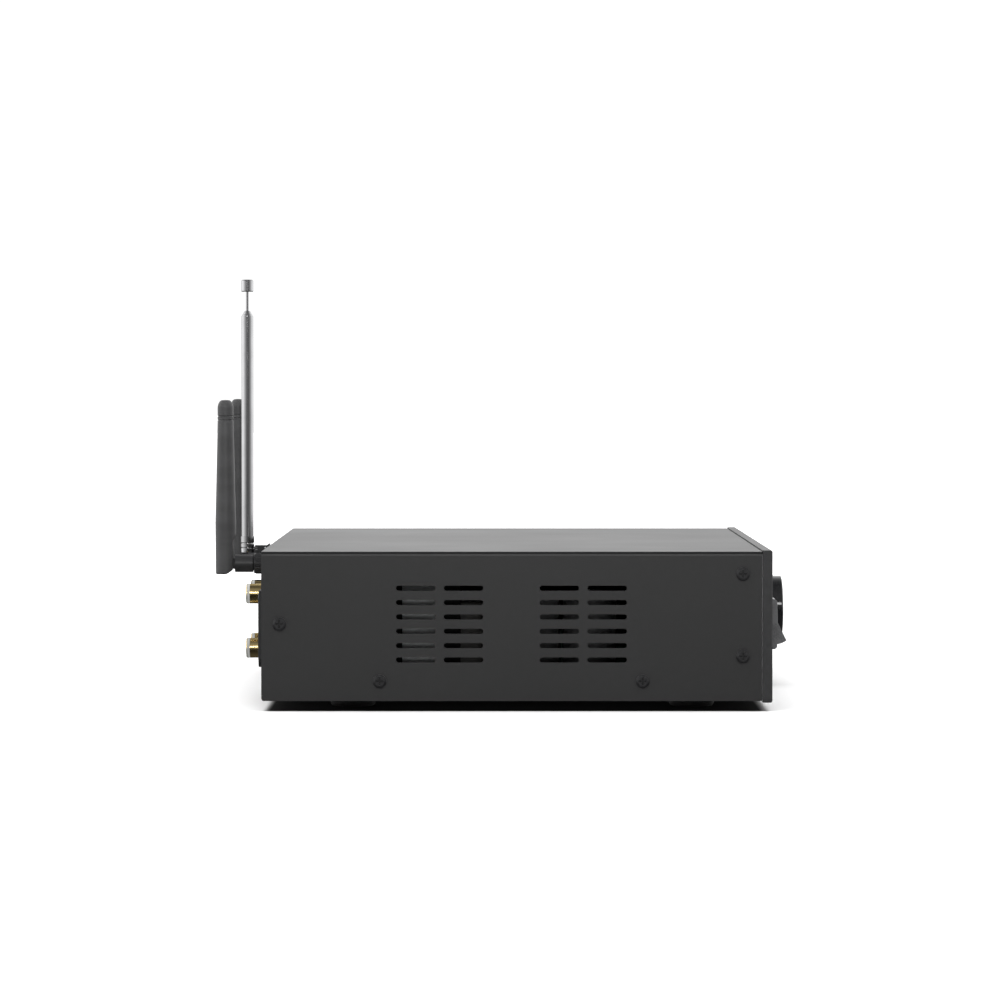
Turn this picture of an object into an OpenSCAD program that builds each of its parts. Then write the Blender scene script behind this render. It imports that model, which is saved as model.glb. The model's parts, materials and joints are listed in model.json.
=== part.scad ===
// Bluetooth audio receiver: a stereo amplifier in a low steel case, all lengths in millimetres.
// The origin is on the floor at the middle of the outline. The front faces -Y and +X is to the
// right as a listener sees the front.

/* [Case] */
// Width of the case
case_w = 280; // [260:1:340]
// Depth of the folded cover, from the front plate to its rear edge
case_d = 205; // [195:1:260]
// Height of the folded cover
case_h = 61.1; // [58:0.1:74]
// Thickness of the steel sheet
sheet_t = 1.2; // [0.8:0.1:1.6]
// Outer radius of the cover's two folds
bend_r = 1.6; // [1.7:0.1:3]
// Thickness of the front plate
plate_t = 4; // [3:0.5:6]
// How far the front plate stands above the cover
plate_above = 0.5; // [0:0.1:2]
// How far the front plate hangs below the cover
plate_below = 0.7; // [0:0.1:2]
// Slip gap between sheets that slide into each other
slip = 0.1; // [0.05:0.05:0.3]
// Seam between the cover and the front plate
seam = 0.3; // [0.2:0.1:0.6]

/* [Feet] */
// Height of a foot
foot_h = 4.3; // [3:0.1:8]
// Diameter of a foot
foot_d = 18.6; // [14:0.2:24]
// Distance from the case's side to a foot's centre
foot_side_in = 35; // [20:1:50]
// Distance from the cover's rear edge to the rear feet
foot_rear_in = 36.4; // [20:0.2:50]
// Distance from the front face to the front feet
foot_front_in = 31.6; // [20:0.2:50]

/* [Side vents] */
// Length of a vent slot
vent_len = 16.1; // [10:0.1:18]
// Width of a vent slot
vent_w = 2.1; // [1.5:0.1:3]
// Rows of slots
vent_rows = 6; // [3:1:7]
// Height between two rows
vent_pitch = 5.87; // [5:0.01:7]
// Height of the lowest row above the case's bottom
vent_low = 16.8; // [15:0.1:20]
// Distance from the cover's rear edge to the first slot
vent_rear_in = 55.1; // [50:0.1:60]
// Distance between two columns of one group
vent_col_pitch = 19.55; // [19:0.05:22]
// Distance between the two groups
vent_group_pitch = 58.7; // [50:0.1:65]

/* [Screws] */
// Diameter of a screw's shank
screw_d = 3; // [2.5:0.1:4]
// Diameter of a screw's head
screw_head_d = 5.6; // [5:0.1:7]
// Height of a screw's head
screw_head_h = 1.5; // [1:0.1:2.5]
// Length of the screws through the cover
case_screw_len = 4.6; // [4:0.1:6]

/* [Power switch] */
// Distance from the case's left side to the switch's centre
switch_side_in = 15.5; // [14:0.5:24]
// Height of the switch's centre above the case's bottom
switch_up = 31; // [26:0.5:34]
// Width of the switch's bezel
switch_w = 15; // [14:0.5:16]
// Height of the switch's bezel
switch_h = 20.6; // [20:0.1:22]
// How far the bezel stands out
switch_out = 2.4; // [1.5:0.1:3]
// Radius of the rocker about its pivot
rocker_r = 8.5; // [8:0.1:8.8]
// Width of the rocker
rocker_w = 9.8; // [9:0.1:10.5]
// Tilt of the rocker either side of level, in degrees
rocker_tilt = 14; // [10:1:16]

/* [Knobs] */
// Distance from the case's middle to the volume knob
knob_x = 19; // [10:1:24]
// Height of the volume knob's centre above the case's bottom
knob_up = 30.3; // [26:0.1:34]
// Diameter of the volume knob
knob_d = 28; // [22:0.5:34]
// How far the volume knob stands out
knob_out = 14.2; // [12:0.1:18]
// Diameter of the volume shaft
shaft_d = 6; // [5:0.1:6.4]
// Distance from the case's middle to the bass knob
bass_x = 62; // [56:1:70]
// Distance between the bass and the treble knob
tone_pitch = 36; // [28:1:40]
// Height of the tone knobs above the case's bottom
tone_up = 42; // [38:0.5:44]
// Diameter of a tone knob
tone_d = 15; // [12:0.5:17]
// How far a tone knob stands out
tone_out = 11; // [9:0.5:12]
// Diameter of a tone knob's stem
stem_d = 4; // [3.5:0.1:5]

/* [Display and buttons] */
// Distance from the case's middle to the display's centre
window_x = -67; // [-70:1:-62]
// Width of the display window
window_w = 70; // [60:1:72]
// Height of the display window
window_h = 23; // [18:0.5:24]
// Height of the window's centre above the case's bottom
window_up = 38; // [36:0.5:40]
// Distance between two push buttons
button_pitch = 18; // [14:1:22]
// Diameter of a push button
button_d = 7; // [5:0.5:9]
// How far a push button stands out
button_out = 1.5; // [1:0.1:2.5]
// Travel of a push button
button_travel = 0.5; // [0.3:0.1:0.6]
// Height of the lower row of controls above the case's bottom
lower_row_up = 15; // [14:0.5:18]
// Distance from the case's middle to the USB socket
usb_x = 80; // [70:1:90]

/* [Mains inlet] */
// Distance from the case's middle to the inlet
inlet_x = -116; // [-118:0.5:-112]
// Height of the inlet's centre above the case's bottom
inlet_up = 28.7; // [26:0.1:34]
// Width of the inlet's flange
inlet_w = 24; // [23:0.5:25]
// Height of the inlet's flange
inlet_h = 31.6; // [31:0.1:33]
// How far the flange stands out behind the cover
inlet_out = 1.9; // [1.5:0.1:3]

/* [Phono jacks] */
// Distance from the case's middle to the first column of jacks
rca_x = -88; // [-90:0.5:-84]
// Distance between the two columns
rca_pitch_x = 36; // [20:1:38]
// Distance of the upper row below the case's top
rca_down = 19.7; // [18:0.1:22]
// Height between the two rows
rca_pitch_z = 22.8; // [16:0.1:24]
// Diameter of a jack's shell
rca_d = 8.4; // [8:0.1:9]
// How far a jack stands out behind the cover
rca_out = 9; // [8:0.5:10]

/* [Speaker terminals] */
// Distance from the case's middle to the terminal block
spk_x = 95; // [90:1:98]
// Height of the block's centre above the case's bottom
spk_up = 30; // [26:0.5:34]
// Width for each lever, ribs included
spk_pitch = 12.8; // [12:0.1:14]
// Diameter of a wire hole
wire_hole_d = 3.2; // [2.5:0.1:4]
// Lean of a lever at rest, in degrees
lever_lean = 20; // [18:1:24]

/* [Bluetooth aerials] */
// Distance from the case's middle to each aerial
bt_x = 45.5; // [43:0.5:50]
// Distance of an aerial's swivel axis below the case's top
bt_down = 8.8; // [8:0.1:10]
// Distance from the cover's rear edge to the fold pivot
bt_pivot_out = 21.2; // [21:0.1:24]
// Length of an aerial's folding body
bt_len = 74.9; // [60:0.1:78]
// Largest radius of the folding body
bt_r = 4.45; // [4.3:0.05:4.6]
// Radius of the folding body near its tip
bt_tip_r = 3.4; // [3:0.05:3.6]
// Diameter of the swivelling base
bt_base_d = 7.5; // [7:0.1:8]
// Diameter of the nut on the panel
bt_nut_d = 8.7; // [8.5:0.1:9.5]

/* [FM aerial] */
// Distance from the case's middle to the FM aerial
fm_x = 0; // [-3:1:3]
// Distance from the cover's rear edge to the aerial's axis
fm_out = 13.5; // [13:0.1:14]
// Distance of the fold pivot below the case's top
fm_down = 9; // [8.5:0.1:10]
// Length of the outer tube
fm_len = 97.5; // [80:0.5:120]
// Outer diameter of the outer tube
fm_d = 5.25; // [5:0.05:5.4]
// Wall of every tube
fm_wall = 0.35; // [0.3:0.01:0.4]
// Diameter of the tip rod
rod_d = 1.4; // [1.2:0.1:1.5]
// Length of rod that shows below the tip cap
rod_show = 7.7; // [5:0.1:12]
// Diameter of the tip cap
cap_d = 5.35; // [5:0.05:5.6]
// Height of the tip cap
cap_h = 5.3; // [4:0.1:8]

/* [Inside] */
// Height of the standoffs under the boards
standoff_h = 6; // [5:0.5:8]
// Thickness of a circuit board
board_t = 1.6; // [1:0.1:2]
// Gap between the inner front panel and the front board
front_gap = 8; // [7.5:0.5:10]
// Diameter of a power filter capacitor
filter_d = 22; // [18:0.5:23]
// Height of a power filter capacitor
filter_h = 35; // [25:0.5:38]

/* [Hidden] */
$fn = 64;
eps = 0.02;
run_fit = 0.05;   // radial clearance of a shaft that turns or slides
bushing_t = 0.6;  // wall of the volume control's threaded bushing
gap = 0.3;        // clearance between pieces that pass each other
m3_hole_d = screw_d + 0.4;

bt_reach = bt_pivot_out - 0.9 + bt_r;
front_y = knob_out - (knob_out + plate_t + case_d + bt_reach) / 2;
plate_back_y = front_y + plate_t;
rear_y = plate_back_y + case_d;
sub_back_y = plate_back_y + sheet_t;
board_front_y = sub_back_y + front_gap;
rear_in = 0.3;    // how far the rear panel sits inside the cover's edge
panel_y = rear_y - rear_in;
panel_in_y = panel_y - sheet_t;

case_z = foot_h;
case_top = case_z + case_h;
tray_top = case_z + sheet_t;
inner_w = case_w - 2 * (sheet_t + slip);
inner_top = case_top - sheet_t - slip;
side_x = case_w / 2;
flange_x = (inner_w - sheet_t) / 2;
tray_flange_h = 14;
flange_d = 14;
rear_flange_z = case_z + tray_flange_h + 1;

switch_x = -side_x + switch_side_in;
switch_z = case_z + switch_up;
pivot_in = 1.4;   // rocker pivot in front of the plate's face
rocker_y = front_y - pivot_in;
knob_z = case_z + knob_up;
treble_x = bass_x + tone_pitch;
tone_z = case_z + tone_up;
lower_z = case_z + lower_row_up;
window_z = case_z + window_up;
button_xs = [for (i = [-1:1]) window_x + i * button_pitch];

inlet_z = case_z + inlet_up;
rca_xs = [rca_x, rca_x + rca_pitch_x];
rca_zs = [case_top - rca_down, case_top - rca_down - rca_pitch_z];
spk_z = case_z + spk_up;
rib_t = 1.6;
spk_w = 4 * spk_pitch + 15;
spk_h = 26;
spk_body = [4 * spk_pitch + rib_t + 0.8, spk_h - 6.4];
spk_face_y = panel_y + 2;
spk_screw_xs = [spk_x - spk_w / 2 + 3.5, spk_x + spk_w / 2 - 3.5];
lever_xs = [for (i = [-1.5:1:1.5]) spk_x + i * spk_pitch];
lever_pin_y = spk_face_y + 1.9;
lever_pin_z = spk_z - 2;

bt_z = case_top - bt_down;
bt_pivot_y = rear_y + bt_pivot_out;
bt_axis_y = bt_pivot_y - 0.9;
bt_end_y = bt_pivot_y - 4.9;
bt_foot = 4.6;    // how far the folding body reaches below its pivot
bt_tongue_t = 3;
bt_nut_len = 8.1;

fm_y = rear_y + fm_out;
fm_z = case_top - fm_down;
fm_tube_z = case_top + 0.8;
fm_tube_top = fm_tube_z + fm_len;
fm_lug_t = 3;
fm_step = 0.7;    // how far each section shows above the one around it
fm_ds = [for (i = [0:3]) fm_d - i * 2 * (fm_wall + run_fit)];

board_z = tray_top + standoff_h;
board_top = board_z + board_t;
filter_x = -side_x + 23;
filter_mid_y = rear_y - 122.9;
filter_ys = [-1, 1] * (filter_d + 1.5) / 2;
power_x = [-side_x + 9, -side_x + 67];
power_y = [filter_mid_y - 29, filter_mid_y + 29];
amp_x = [-52, 72];
amp_y = board_front_y * [1, 1] + [32.5, 136.5];
radio_x = [-36, 36];
radio_y = [panel_in_y - 46, panel_in_y - 8];
sink_x = amp_x[1] + 2;

// Corners of a board, in from its edges, as standoff places.
function corners(xs, ys) = [
    for (x = [xs[0] + 4, xs[1] - 4], y = [ys[0] + 4, ys[1] - 4]) [x, y]
];
board_posts = concat(
    corners(power_x, power_y),
    corners(amp_x, amp_y),
    corners(radio_x, radio_y)
);
front_board_x = [-108, 112];
front_board_z = [case_z + 7, case_z + 55];
post_xs = [front_board_x[0] + 4, -14, front_board_x[1] - 5];
post_zs = [front_board_z[0] + 3.5, front_board_z[1] - 3.5];
// Posts of the front board, left out where the display stands.
front_posts = [
    for (x = post_xs, z = post_zs)
        if (z < window_z - window_h / 2 - 4 || x > window_x + window_w / 2 + 6) [x, z]
];

// ---- Helpers ----

// Extrudes a 2D outline drawn in X and Z from y towards +Y.
module along_y(y, t) translate([0, y + t, 0]) rotate([90, 0, 0]) linear_extrude(t) children();

// Extrudes a 2D outline drawn in Y and Z from x towards +X.
module along_x(x, t) translate([x, 0, 0]) rotate([90, 0, 90]) linear_extrude(t) children();

// A rod along Y between two places.
module rod_y(d, y0, y1) translate([0, y0, 0]) rotate([-90, 0, 0]) cylinder(d = d, h = y1 - y0);

// A rod along X, centred.
module rod_x(d, len) rotate([0, 90, 0]) cylinder(d = d, h = len, center = true);

// A box between two corners.
module box(a, b) translate(a) cube(b - a);

// A rectangle with round corners, centred.
module round_rect(w, h, r) {
    square([w - 2 * r, h], center = true);
    square([w, h - 2 * r], center = true);
    for (x = [-1, 1], y = [-1, 1]) translate([x * (w / 2 - r), y * (h / 2 - r)]) circle(r);
}

// A rectangle with cut corners, centred.
module cut_rect(w, h, c) {
    x = w / 2;
    y = h / 2;
    polygon([
        [-x + c, -y], [x - c, -y], [x, -y + c], [x, y - c],
        [x - c, y], [-x + c, y], [-x, y - c], [-x, -y + c]
    ]);
}

// A slot with round ends, centred, lying along the first axis.
module slot(len, w) {
    square([len - w, w], center = true);
    for (s = [-1, 1]) translate([s * (len - w) / 2, 0]) circle(d = w);
}

// An arch outline: square feet on the first axis and round top corners.
module arch(w, h, r) {
    translate([-w / 2, 0]) square([w, h - r]);
    translate([-w / 2 + r, 0]) square([w - 2 * r, h]);
    for (s = [-1, 1]) translate([s * (w / 2 - r), h - r]) circle(r);
}

// A cross-head screw: its head stands on z = 0 and its shank goes down.
module screw(len) {
    difference() {
        union() {
            cylinder(d = screw_head_d, h = screw_head_h * 0.6);
            translate([0, 0, screw_head_h * 0.6])
                cylinder(d1 = screw_head_d, d2 = screw_head_d * 0.7, h = screw_head_h * 0.4);
        }
        for (a = [0, 90]) rotate(a) translate([0, 0, screw_head_h]) cube([3.2, 0.7, 1.6], center = true);
    }
    translate([0, 0, -len]) cylinder(d = screw_d, h = len + eps);
}

// Unit vector.
function unit(v) = v / norm(v);
// A point of a smooth curve through p, at s between points i and i + 1.
function smooth(p, i, s) =
    let (n = len(p) - 1, a = p[max(i - 1, 0)], b = p[i], c = p[i + 1], d = p[min(i + 2, n)])
    0.5 * (2 * b + (c - a) * s + (2 * a - 5 * b + 4 * c - d) * s * s + (3 * b - a - 3 * c + d) * s * s * s);
// A smooth curve through p with steps points for each stretch.
function curve(p, steps) = concat(
    [for (i = [0:len(p) - 2], k = [0:steps - 1]) smooth(p, i, k / steps)], [p[len(p) - 1]]
);
// Direction of travel at each point.
function headings(p) = [for (i = [0:len(p) - 1]) unit(p[min(i + 1, len(p) - 1)] - p[max(i - 1, 0)])];
// Side vectors carried along the headings without twist.
function sides(h, first) = [
    for (i = 0, v = unit(first - h[0] * (first * h[0])); i < len(h);
         i = i + 1, v = i < len(h) ? unit(v - h[i] * (v * h[i])) : v) v
];

// A wire of radius r that follows the hand-chosen points p.
module wire(p, r, first, steps = 6) {
    line = curve(p, steps);
    h = headings(line);
    v = sides(h, first);
    n = len(line);
    ring = 8;
    polyhedron(
        [for (i = [0:n - 1], k = [0:ring - 1])
            line[i] + r * (cos(k * 360 / ring) * v[i] + sin(k * 360 / ring) * cross(h[i], v[i]))],
        concat(
            [[for (k = [0:ring - 1]) k]],
            [for (i = [0:n - 2], k = [0:ring - 1])
                let (a = i * ring + k, b = i * ring + (k + 1) % ring) [a, a + ring, b + ring, b]],
            [[for (k = [ring - 1:-1:0]) (n - 1) * ring + k]]
        )
    );
}

// ---- Case ----

side_screws = [[7.4, 31.5], [48.4, 8.1], [155.9, 8.1], [case_d - 8.1, 52], [case_d - 8.1, 18.3]];

// Places children at every side screw, with their +Z pointing out of the case.
module at_side_screws(places = side_screws) {
    for (s = [-1, 1], p = places)
        translate([s * side_x, rear_y - p[0], case_z + p[1]]) rotate([0, s * 90, 0]) children();
}

// The drilled holes for those screws.
module side_holes(d, places = side_screws) at_side_screws(places) cylinder(d = d, h = 20, center = true);

module vent_slots() {
    for (g = [0, 1], c = [0, 1], r = [0:vent_rows - 1])
        translate([
            rear_y - vent_rear_in - vent_len / 2 - g * vent_group_pitch - c * vent_col_pitch,
            case_z + vent_low + r * vent_pitch
        ]) slot(vent_len, vent_w);
}

module top_cover() {
    edge_r = 1.2;
    color("#3a3a3a") difference() {
        along_y(plate_back_y + seam, case_d - seam) translate([0, case_z]) difference() {
            arch(case_w, case_h, bend_r);
            translate([0, -1]) arch(case_w - 2 * sheet_t, case_h - sheet_t + 1, max(bend_r - sheet_t, 0.3));
        }
        along_x(-side_x - 1, case_w + 2) vent_slots();
        side_holes(m3_hole_d);
        along_x(-side_x - 1, case_w + 2) difference() {
            translate([rear_y - edge_r, case_z - 1]) square([edge_r + 1, edge_r + 1]);
            translate([rear_y - edge_r, case_z + edge_r]) circle(edge_r);
        }
    }
}

module chassis_tray() {
    depth = panel_in_y - sub_back_y;
    color("#8a8d90") difference() {
        union() {
            box([-inner_w / 2, sub_back_y, case_z], [inner_w / 2, panel_in_y, tray_top]);
            for (s = [-1, 1])
                translate([s * flange_x - sheet_t / 2, sub_back_y + flange_d + 2, case_z])
                    cube([sheet_t, depth - 2 * flange_d - 4, tray_flange_h]);
        }
        side_holes(screw_d, [side_screws[1], side_screws[2]]);
        at_feet() translate([0, 0, -1]) cylinder(d = screw_d, h = foot_h + 10);
        for (p = board_posts) translate([p[0], p[1], 0]) cylinder(d = screw_d, h = board_z);
        for (x = transformer_screw_xs) translate([x, transformer_y, 0]) cylinder(d = screw_d, h = board_z);
        for (x = [20:10:90]) translate([x, amp_y[1] - 50, tray_top - sheet_t / 2])
            linear_extrude(2 * sheet_t, center = true) rotate(90) slot(40, 3);
    }
}

module rear_panel() {
    color("#3a3a3a") difference() {
        union() {
            box([-inner_w / 2, panel_in_y, case_z], [inner_w / 2, panel_y, inner_top]);
            for (s = [-1, 1]) translate([s * flange_x - sheet_t / 2, panel_in_y - flange_d, rear_flange_z])
                cube([sheet_t, flange_d, inner_top - 1 - rear_flange_z]);
        }
        side_holes(screw_d, [side_screws[0]]);
        along_y(panel_in_y - 1, sheet_t + 2) {
            translate([inlet_x, inlet_z]) square([inlet_w - 4, inlet_h - 4], center = true);
            for (x = rca_xs, z = rca_zs) translate([x, z]) circle(d = rca_tail_d + 2 * slip);
            translate([spk_x, spk_z]) square(spk_body + 2 * slip * [1, 1], center = true);
            for (s = [-1, 1]) translate([s * bt_x, bt_z]) circle(d = 6.4);
            translate([fm_x, fm_z]) circle(d = 6);
            for (x = spk_screw_xs) translate([x, spk_z]) circle(d = screw_d);
            for (x = rca_xs) translate([x, rca_mid_z]) circle(d = screw_d);
        }
    }
}
rca_mid_z = (rca_zs[0] + rca_zs[1]) / 2;

module front_sub_panel() {
    color("#8a8d90") difference() {
        union() {
            box([-inner_w / 2, plate_back_y, case_z], [inner_w / 2, sub_back_y, inner_top]);
            for (s = [-1, 1])
                translate([s * flange_x - sheet_t / 2, sub_back_y, tray_top + 1])
                    cube([sheet_t, flange_d, inner_top - tray_top - 2]);
        }
        side_holes(screw_d, [side_screws[3], side_screws[4]]);
        along_y(plate_back_y - 1, sheet_t + 2) {
            translate([switch_x, switch_z]) square([switch_w - 1, switch_h - 0.8], center = true);
            translate([window_x, window_z]) square([window_w + 4, window_h + 2], center = true);
            translate([knob_x, knob_z]) circle(d = shaft_d + 2 * bushing_t + 3 * gap);
            for (x = [bass_x, treble_x]) translate([x, tone_z]) circle(d = stem_d + 3.4);
            for (x = button_xs) translate([x, lower_z]) circle(d = button_d + 2 * gap);
            translate([usb_x, lower_z]) square([15, 7.6], center = true);
            for (p = front_posts) translate(p) circle(d = screw_d);
        }
    }
}

module front_plate() {
    edge = 0.5;
    plate_z = case_z - plate_below;
    plate_top = case_top + plate_above;
    plate_h = plate_top - plate_z;
    color("#3a3a3a") difference() {
        intersection() {
            along_y(front_y, plate_t) difference() {
                translate([-side_x, plate_z]) square([case_w, plate_h]);
                translate([switch_x, switch_z]) square([switch_w - 1.8, switch_h - 1.4], center = true);
                translate([window_x, window_z])
                    square([window_w + 2 * slip, window_h + 2 * slip], center = true);
                translate([knob_x, knob_z]) circle(d = shaft_d + 2 * bushing_t + 2 * gap);
                for (x = [bass_x, treble_x]) translate([x, tone_z]) circle(d = stem_d + 3);
                for (x = button_xs) translate([x, lower_z]) circle(d = button_d + 2 * gap);
                translate([usb_x, lower_z]) square([14.4, 7], center = true);
            }
            along_x(-side_x - 1, case_w + 2) polygon([
                [front_y + edge, plate_z], [plate_back_y, plate_z], [plate_back_y, plate_top],
                [front_y + edge, plate_top], [front_y, plate_top - edge], [front_y, plate_z + edge]
            ]);
            translate([0, 0, plate_z]) linear_extrude(plate_h) polygon([
                [-side_x + edge, front_y], [side_x - edge, front_y], [side_x, front_y + edge],
                [side_x, plate_back_y], [-side_x, plate_back_y], [-side_x, front_y + edge]
            ]);
        }
        along_y(plate_back_y - 1, 2) translate([window_x, window_z])
            square([window_w + 4 + 2 * slip, window_h + 2 + 2 * slip], center = true);
    }
}

module at_feet() {
    for (x = [-1, 1], y = [rear_y - foot_rear_in, front_y + foot_front_in])
        translate([x * (side_x - foot_side_in), y, 0]) children();
}

module feet() {
    recess_d = screw_head_d + 2;
    recess_h = foot_h / 2;
    color("#202020") at_feet() difference() {
        union() {
            cylinder(d1 = foot_d - 1.6, d2 = foot_d, h = 0.8);
            translate([0, 0, 0.8]) cylinder(d = foot_d, h = foot_h - 0.8);
        }
        translate([0, 0, -1]) cylinder(d = recess_d, h = recess_h + 1);
        cylinder(d = screw_d, h = foot_h + 1);
    }
}

module foot_screws() {
    color("#9a9a9a") at_feet() translate([0, 0, foot_h / 2]) rotate([180, 0, 0])
        screw(foot_h / 2 + sheet_t + 2);
}

module case_screws() {
    color("#202020") {
        at_side_screws() screw(case_screw_len);
        for (x = spk_screw_xs) translate([x, spk_face_y, spk_z]) rotate([-90, 0, 0]) screw(8);
        for (x = rca_xs) translate([x, panel_y, rca_mid_z]) rotate([-90, 0, 0]) screw(7);
    }
}

// ---- Front controls ----

module rocker_housing() {
    edge = 0.9;
    depth = 14;
    body_w = switch_w - 2;
    body_h = switch_h - 1.6;
    color("#1c1c1c") difference() {
        union() {
            intersection() {
                along_y(front_y - switch_out, switch_out) translate([switch_x, switch_z])
                    square([switch_w, switch_h], center = true);
                along_x(switch_x - switch_w / 2, switch_w) polygon([
                    [front_y, switch_z - switch_h / 2], [front_y, switch_z + switch_h / 2],
                    [front_y - switch_out + edge, switch_z + switch_h / 2],
                    [front_y - switch_out, switch_z + switch_h / 2 - edge],
                    [front_y - switch_out, switch_z - switch_h / 2 + edge],
                    [front_y - switch_out + edge, switch_z - switch_h / 2]
                ]);
            }
            along_y(front_y, depth) translate([switch_x, switch_z]) square([body_w, body_h], center = true);
            for (z = [-6, 0, 6]) translate([switch_x, 0, switch_z + z])
                box([-2.4, front_y + depth, -0.4], [2.4, front_y + depth + 8, 0.4]);
        }
        translate([switch_x, rocker_y, switch_z]) {
            rod_x(2 * (rocker_r + gap), rocker_w + 2 * gap);
            rod_x(2.4 + 2 * run_fit, rocker_w + 2 * gap + 1.2);
        }
    }
}

// The rocker, drawn level about its pivot and then tilted to its lower stop.
module power_rocker() {
    tip_up = rocker_r * sin(23);
    valley = 1.5;
    color("#1c1c1c") translate([switch_x, rocker_y, switch_z]) rotate([-rocker_tilt, 0, 0]) {
        along_x(-rocker_w / 2, rocker_w) intersection() {
            circle(rocker_r);
            polygon([
                [-tip_up, rocker_r], [-valley, 0], [-tip_up, -rocker_r],
                [rocker_r * 0.5, -rocker_r], [rocker_r * 0.5, rocker_r]
            ]);
        }
        rod_x(2.4, rocker_w + 2 * gap + 0.8);
    }
}

module volume_encoder() {
    color("#9a9a9a") translate([knob_x, 0, knob_z]) difference() {
        union() {
            box([-6.5, sub_back_y + 0.5, -6.5], [6.5, board_front_y, 6.5]);
            rod_y(shaft_d + 2 * bushing_t, front_y - 0.6, sub_back_y + 1);
        }
        rod_y(shaft_d + 2 * run_fit, front_y - 1, board_front_y - 1.5);
    }
}

module volume_shaft() {
    color("#c8c8c8") translate([knob_x, 0, knob_z]) difference() {
        rod_y(shaft_d, front_y - knob_out + 3, board_front_y - 2);
        box([shaft_d / 2 - 1.2, front_y - knob_out, -shaft_d], [shaft_d, front_y - 2, shaft_d]);
    }
}

// A knob of revolution standing on the front plate: the profile runs from its back to its crown.
module knob_shape(d, out, bore, back_gap, recess_d) {
    r = d / 2;
    crown = out - back_gap;
    dome = 1;
    rim = 5;
    rotate([90, 0, 0]) rotate_extrude() difference() {
        union() {
            square([r, crown - dome]);
            polygon(concat([[0, 0], [r, 0]], [
                for (a = [0:15:90]) [r - rim * (1 - cos(a)), crown - dome + dome * sin(a)]
            ], [[0, crown]]));
        }
        translate([-1, -1]) square([bore / 2 + 1, crown - 1]);
        translate([-1, -1]) square([recess_d / 2 + 1, 3]);
    }
}

module volume_knob() {
    back_gap = 0.8;
    color("#161616") translate([knob_x, front_y - back_gap, knob_z])
        knob_shape(knob_d, knob_out, shaft_d, back_gap, shaft_d + 6);
}

// A tone control: a potentiometer body with a threaded bushing.
module tone_controls() {
    color("#6f7478") for (x = [bass_x, treble_x]) translate([x, 0, tone_z]) difference() {
        union() {
            box([-4.8, sub_back_y + 0.5, -6], [4.8, board_front_y, 5]);
            rod_y(stem_d + 2, front_y - 0.4, sub_back_y + 1);
        }
        rod_y(stem_d + 2 * run_fit, front_y - 1, board_front_y - 1.5);
    }
}

// A tone knob with its moulded stem and a pointer groove.
module tone_knob(x) {
    back_gap = 0.8;
    color("#161616") translate([x, 0, tone_z]) difference() {
        union() {
            translate([0, front_y - back_gap, 0]) knob_shape(tone_d, tone_out, stem_d, back_gap, stem_d + 4);
            rod_y(stem_d, front_y - tone_out + 1.5, board_front_y - 2);
        }
        box([-0.5, front_y - tone_out - 1, tone_d * 0.2], [0.5, front_y - tone_out + 0.5, tone_d]);
    }
}

module bass_knob() tone_knob(bass_x);
module treble_knob() tone_knob(treble_x);

switch_body_h = 3.5;
button_tip_y = board_front_y - switch_body_h - 1.5 - button_travel - run_fit;

module push_button(i) {
    color("#1c1c1c") translate([button_xs[i], 0, lower_z]) {
        rod_y(button_d, front_y - button_out, sub_back_y + gap);
        rod_y(button_d + 2, sub_back_y + gap, sub_back_y + gap + 1);
        rod_y(4, sub_back_y + gap + 0.5, button_tip_y);
    }
}

module button_back() push_button(0);
module button_source() push_button(1);
module button_next() push_button(2);

module display_window() {
    color("#141820") translate([window_x, 0, window_z]) {
        box([-window_w / 2, front_y + 0.3, -window_h / 2], [window_w / 2, plate_back_y - 0.5, window_h / 2]);
        box(
            [-window_w / 2 - 2, plate_back_y - 1, -window_h / 2 - 1],
            [window_w / 2 + 2, plate_back_y, window_h / 2 + 1]
        );
    }
}

module display_module() {
    glass_w = window_w + 2;
    glass_h = window_h + 1;
    color("#20323a") translate([window_x, 0, window_z]) {
        box([-glass_w / 2, plate_back_y, -glass_h / 2], [glass_w / 2, sub_back_y + 2.6, glass_h / 2]);
        box(
            [-glass_w / 2 - 1, sub_back_y + 2.6, -glass_h / 2 - 1],
            [glass_w / 2 + 1, sub_back_y + 2.6 + board_t, glass_h / 2 + 1]
        );
        for (x = [-1, 1]) translate([x * glass_w / 3, 0, 0])
            box([-9, sub_back_y + 2.6 + board_t, -1.3], [9, board_front_y, 1.3]);
    }
}

module front_board() {
    board_back_y = board_front_y + board_t;
    color("#1d5c34") difference() {
        union() {
            box(
                [front_board_x[0], board_front_y, front_board_z[0]],
                [front_board_x[1], board_back_y, front_board_z[1]]
            );
            for (x = button_xs) translate([x, 0, lower_z]) {
                box([-3, board_front_y - switch_body_h, -3], [3, board_front_y + eps, 3]);
                rod_y(3.5, board_front_y - switch_body_h - 1.5, board_front_y);
            }
            translate([ribbon_x, 0, ribbon_z]) box([-13, board_back_y - eps, -3], [13, board_back_y + 6, 3]);
            for (x = [-90, -60, 10, 40]) translate([x, 0, window_z - 2])
                box([-6, board_back_y - eps, -6], [6, board_back_y + 1.4, 6]);
        }
        for (p = front_posts) translate([p[0], 0, p[1]]) rod_y(screw_d, board_front_y - 1, board_back_y + 1);
    }
}

// The USB socket: a steel shell with an open mouth and a tongue inside.
module usb_socket() {
    shell = [14, 6.6];
    wall = 0.5;
    color("#b8bcc0") translate([usb_x, 0, lower_z]) {
        difference() {
            box([-shell[0] / 2, front_y + 0.2, -shell[1] / 2], [shell[0] / 2, board_front_y, shell[1] / 2]);
            box(
                [-shell[0] / 2 + wall, front_y, -shell[1] / 2 + wall],
                [shell[0] / 2 - wall, board_front_y - 2, shell[1] / 2 - wall]
            );
        }
        box([-5.6, front_y + 1.5, 0.3], [5.6, board_front_y - 1.5, 2]);
    }
}

// ---- Inside ----

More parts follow.
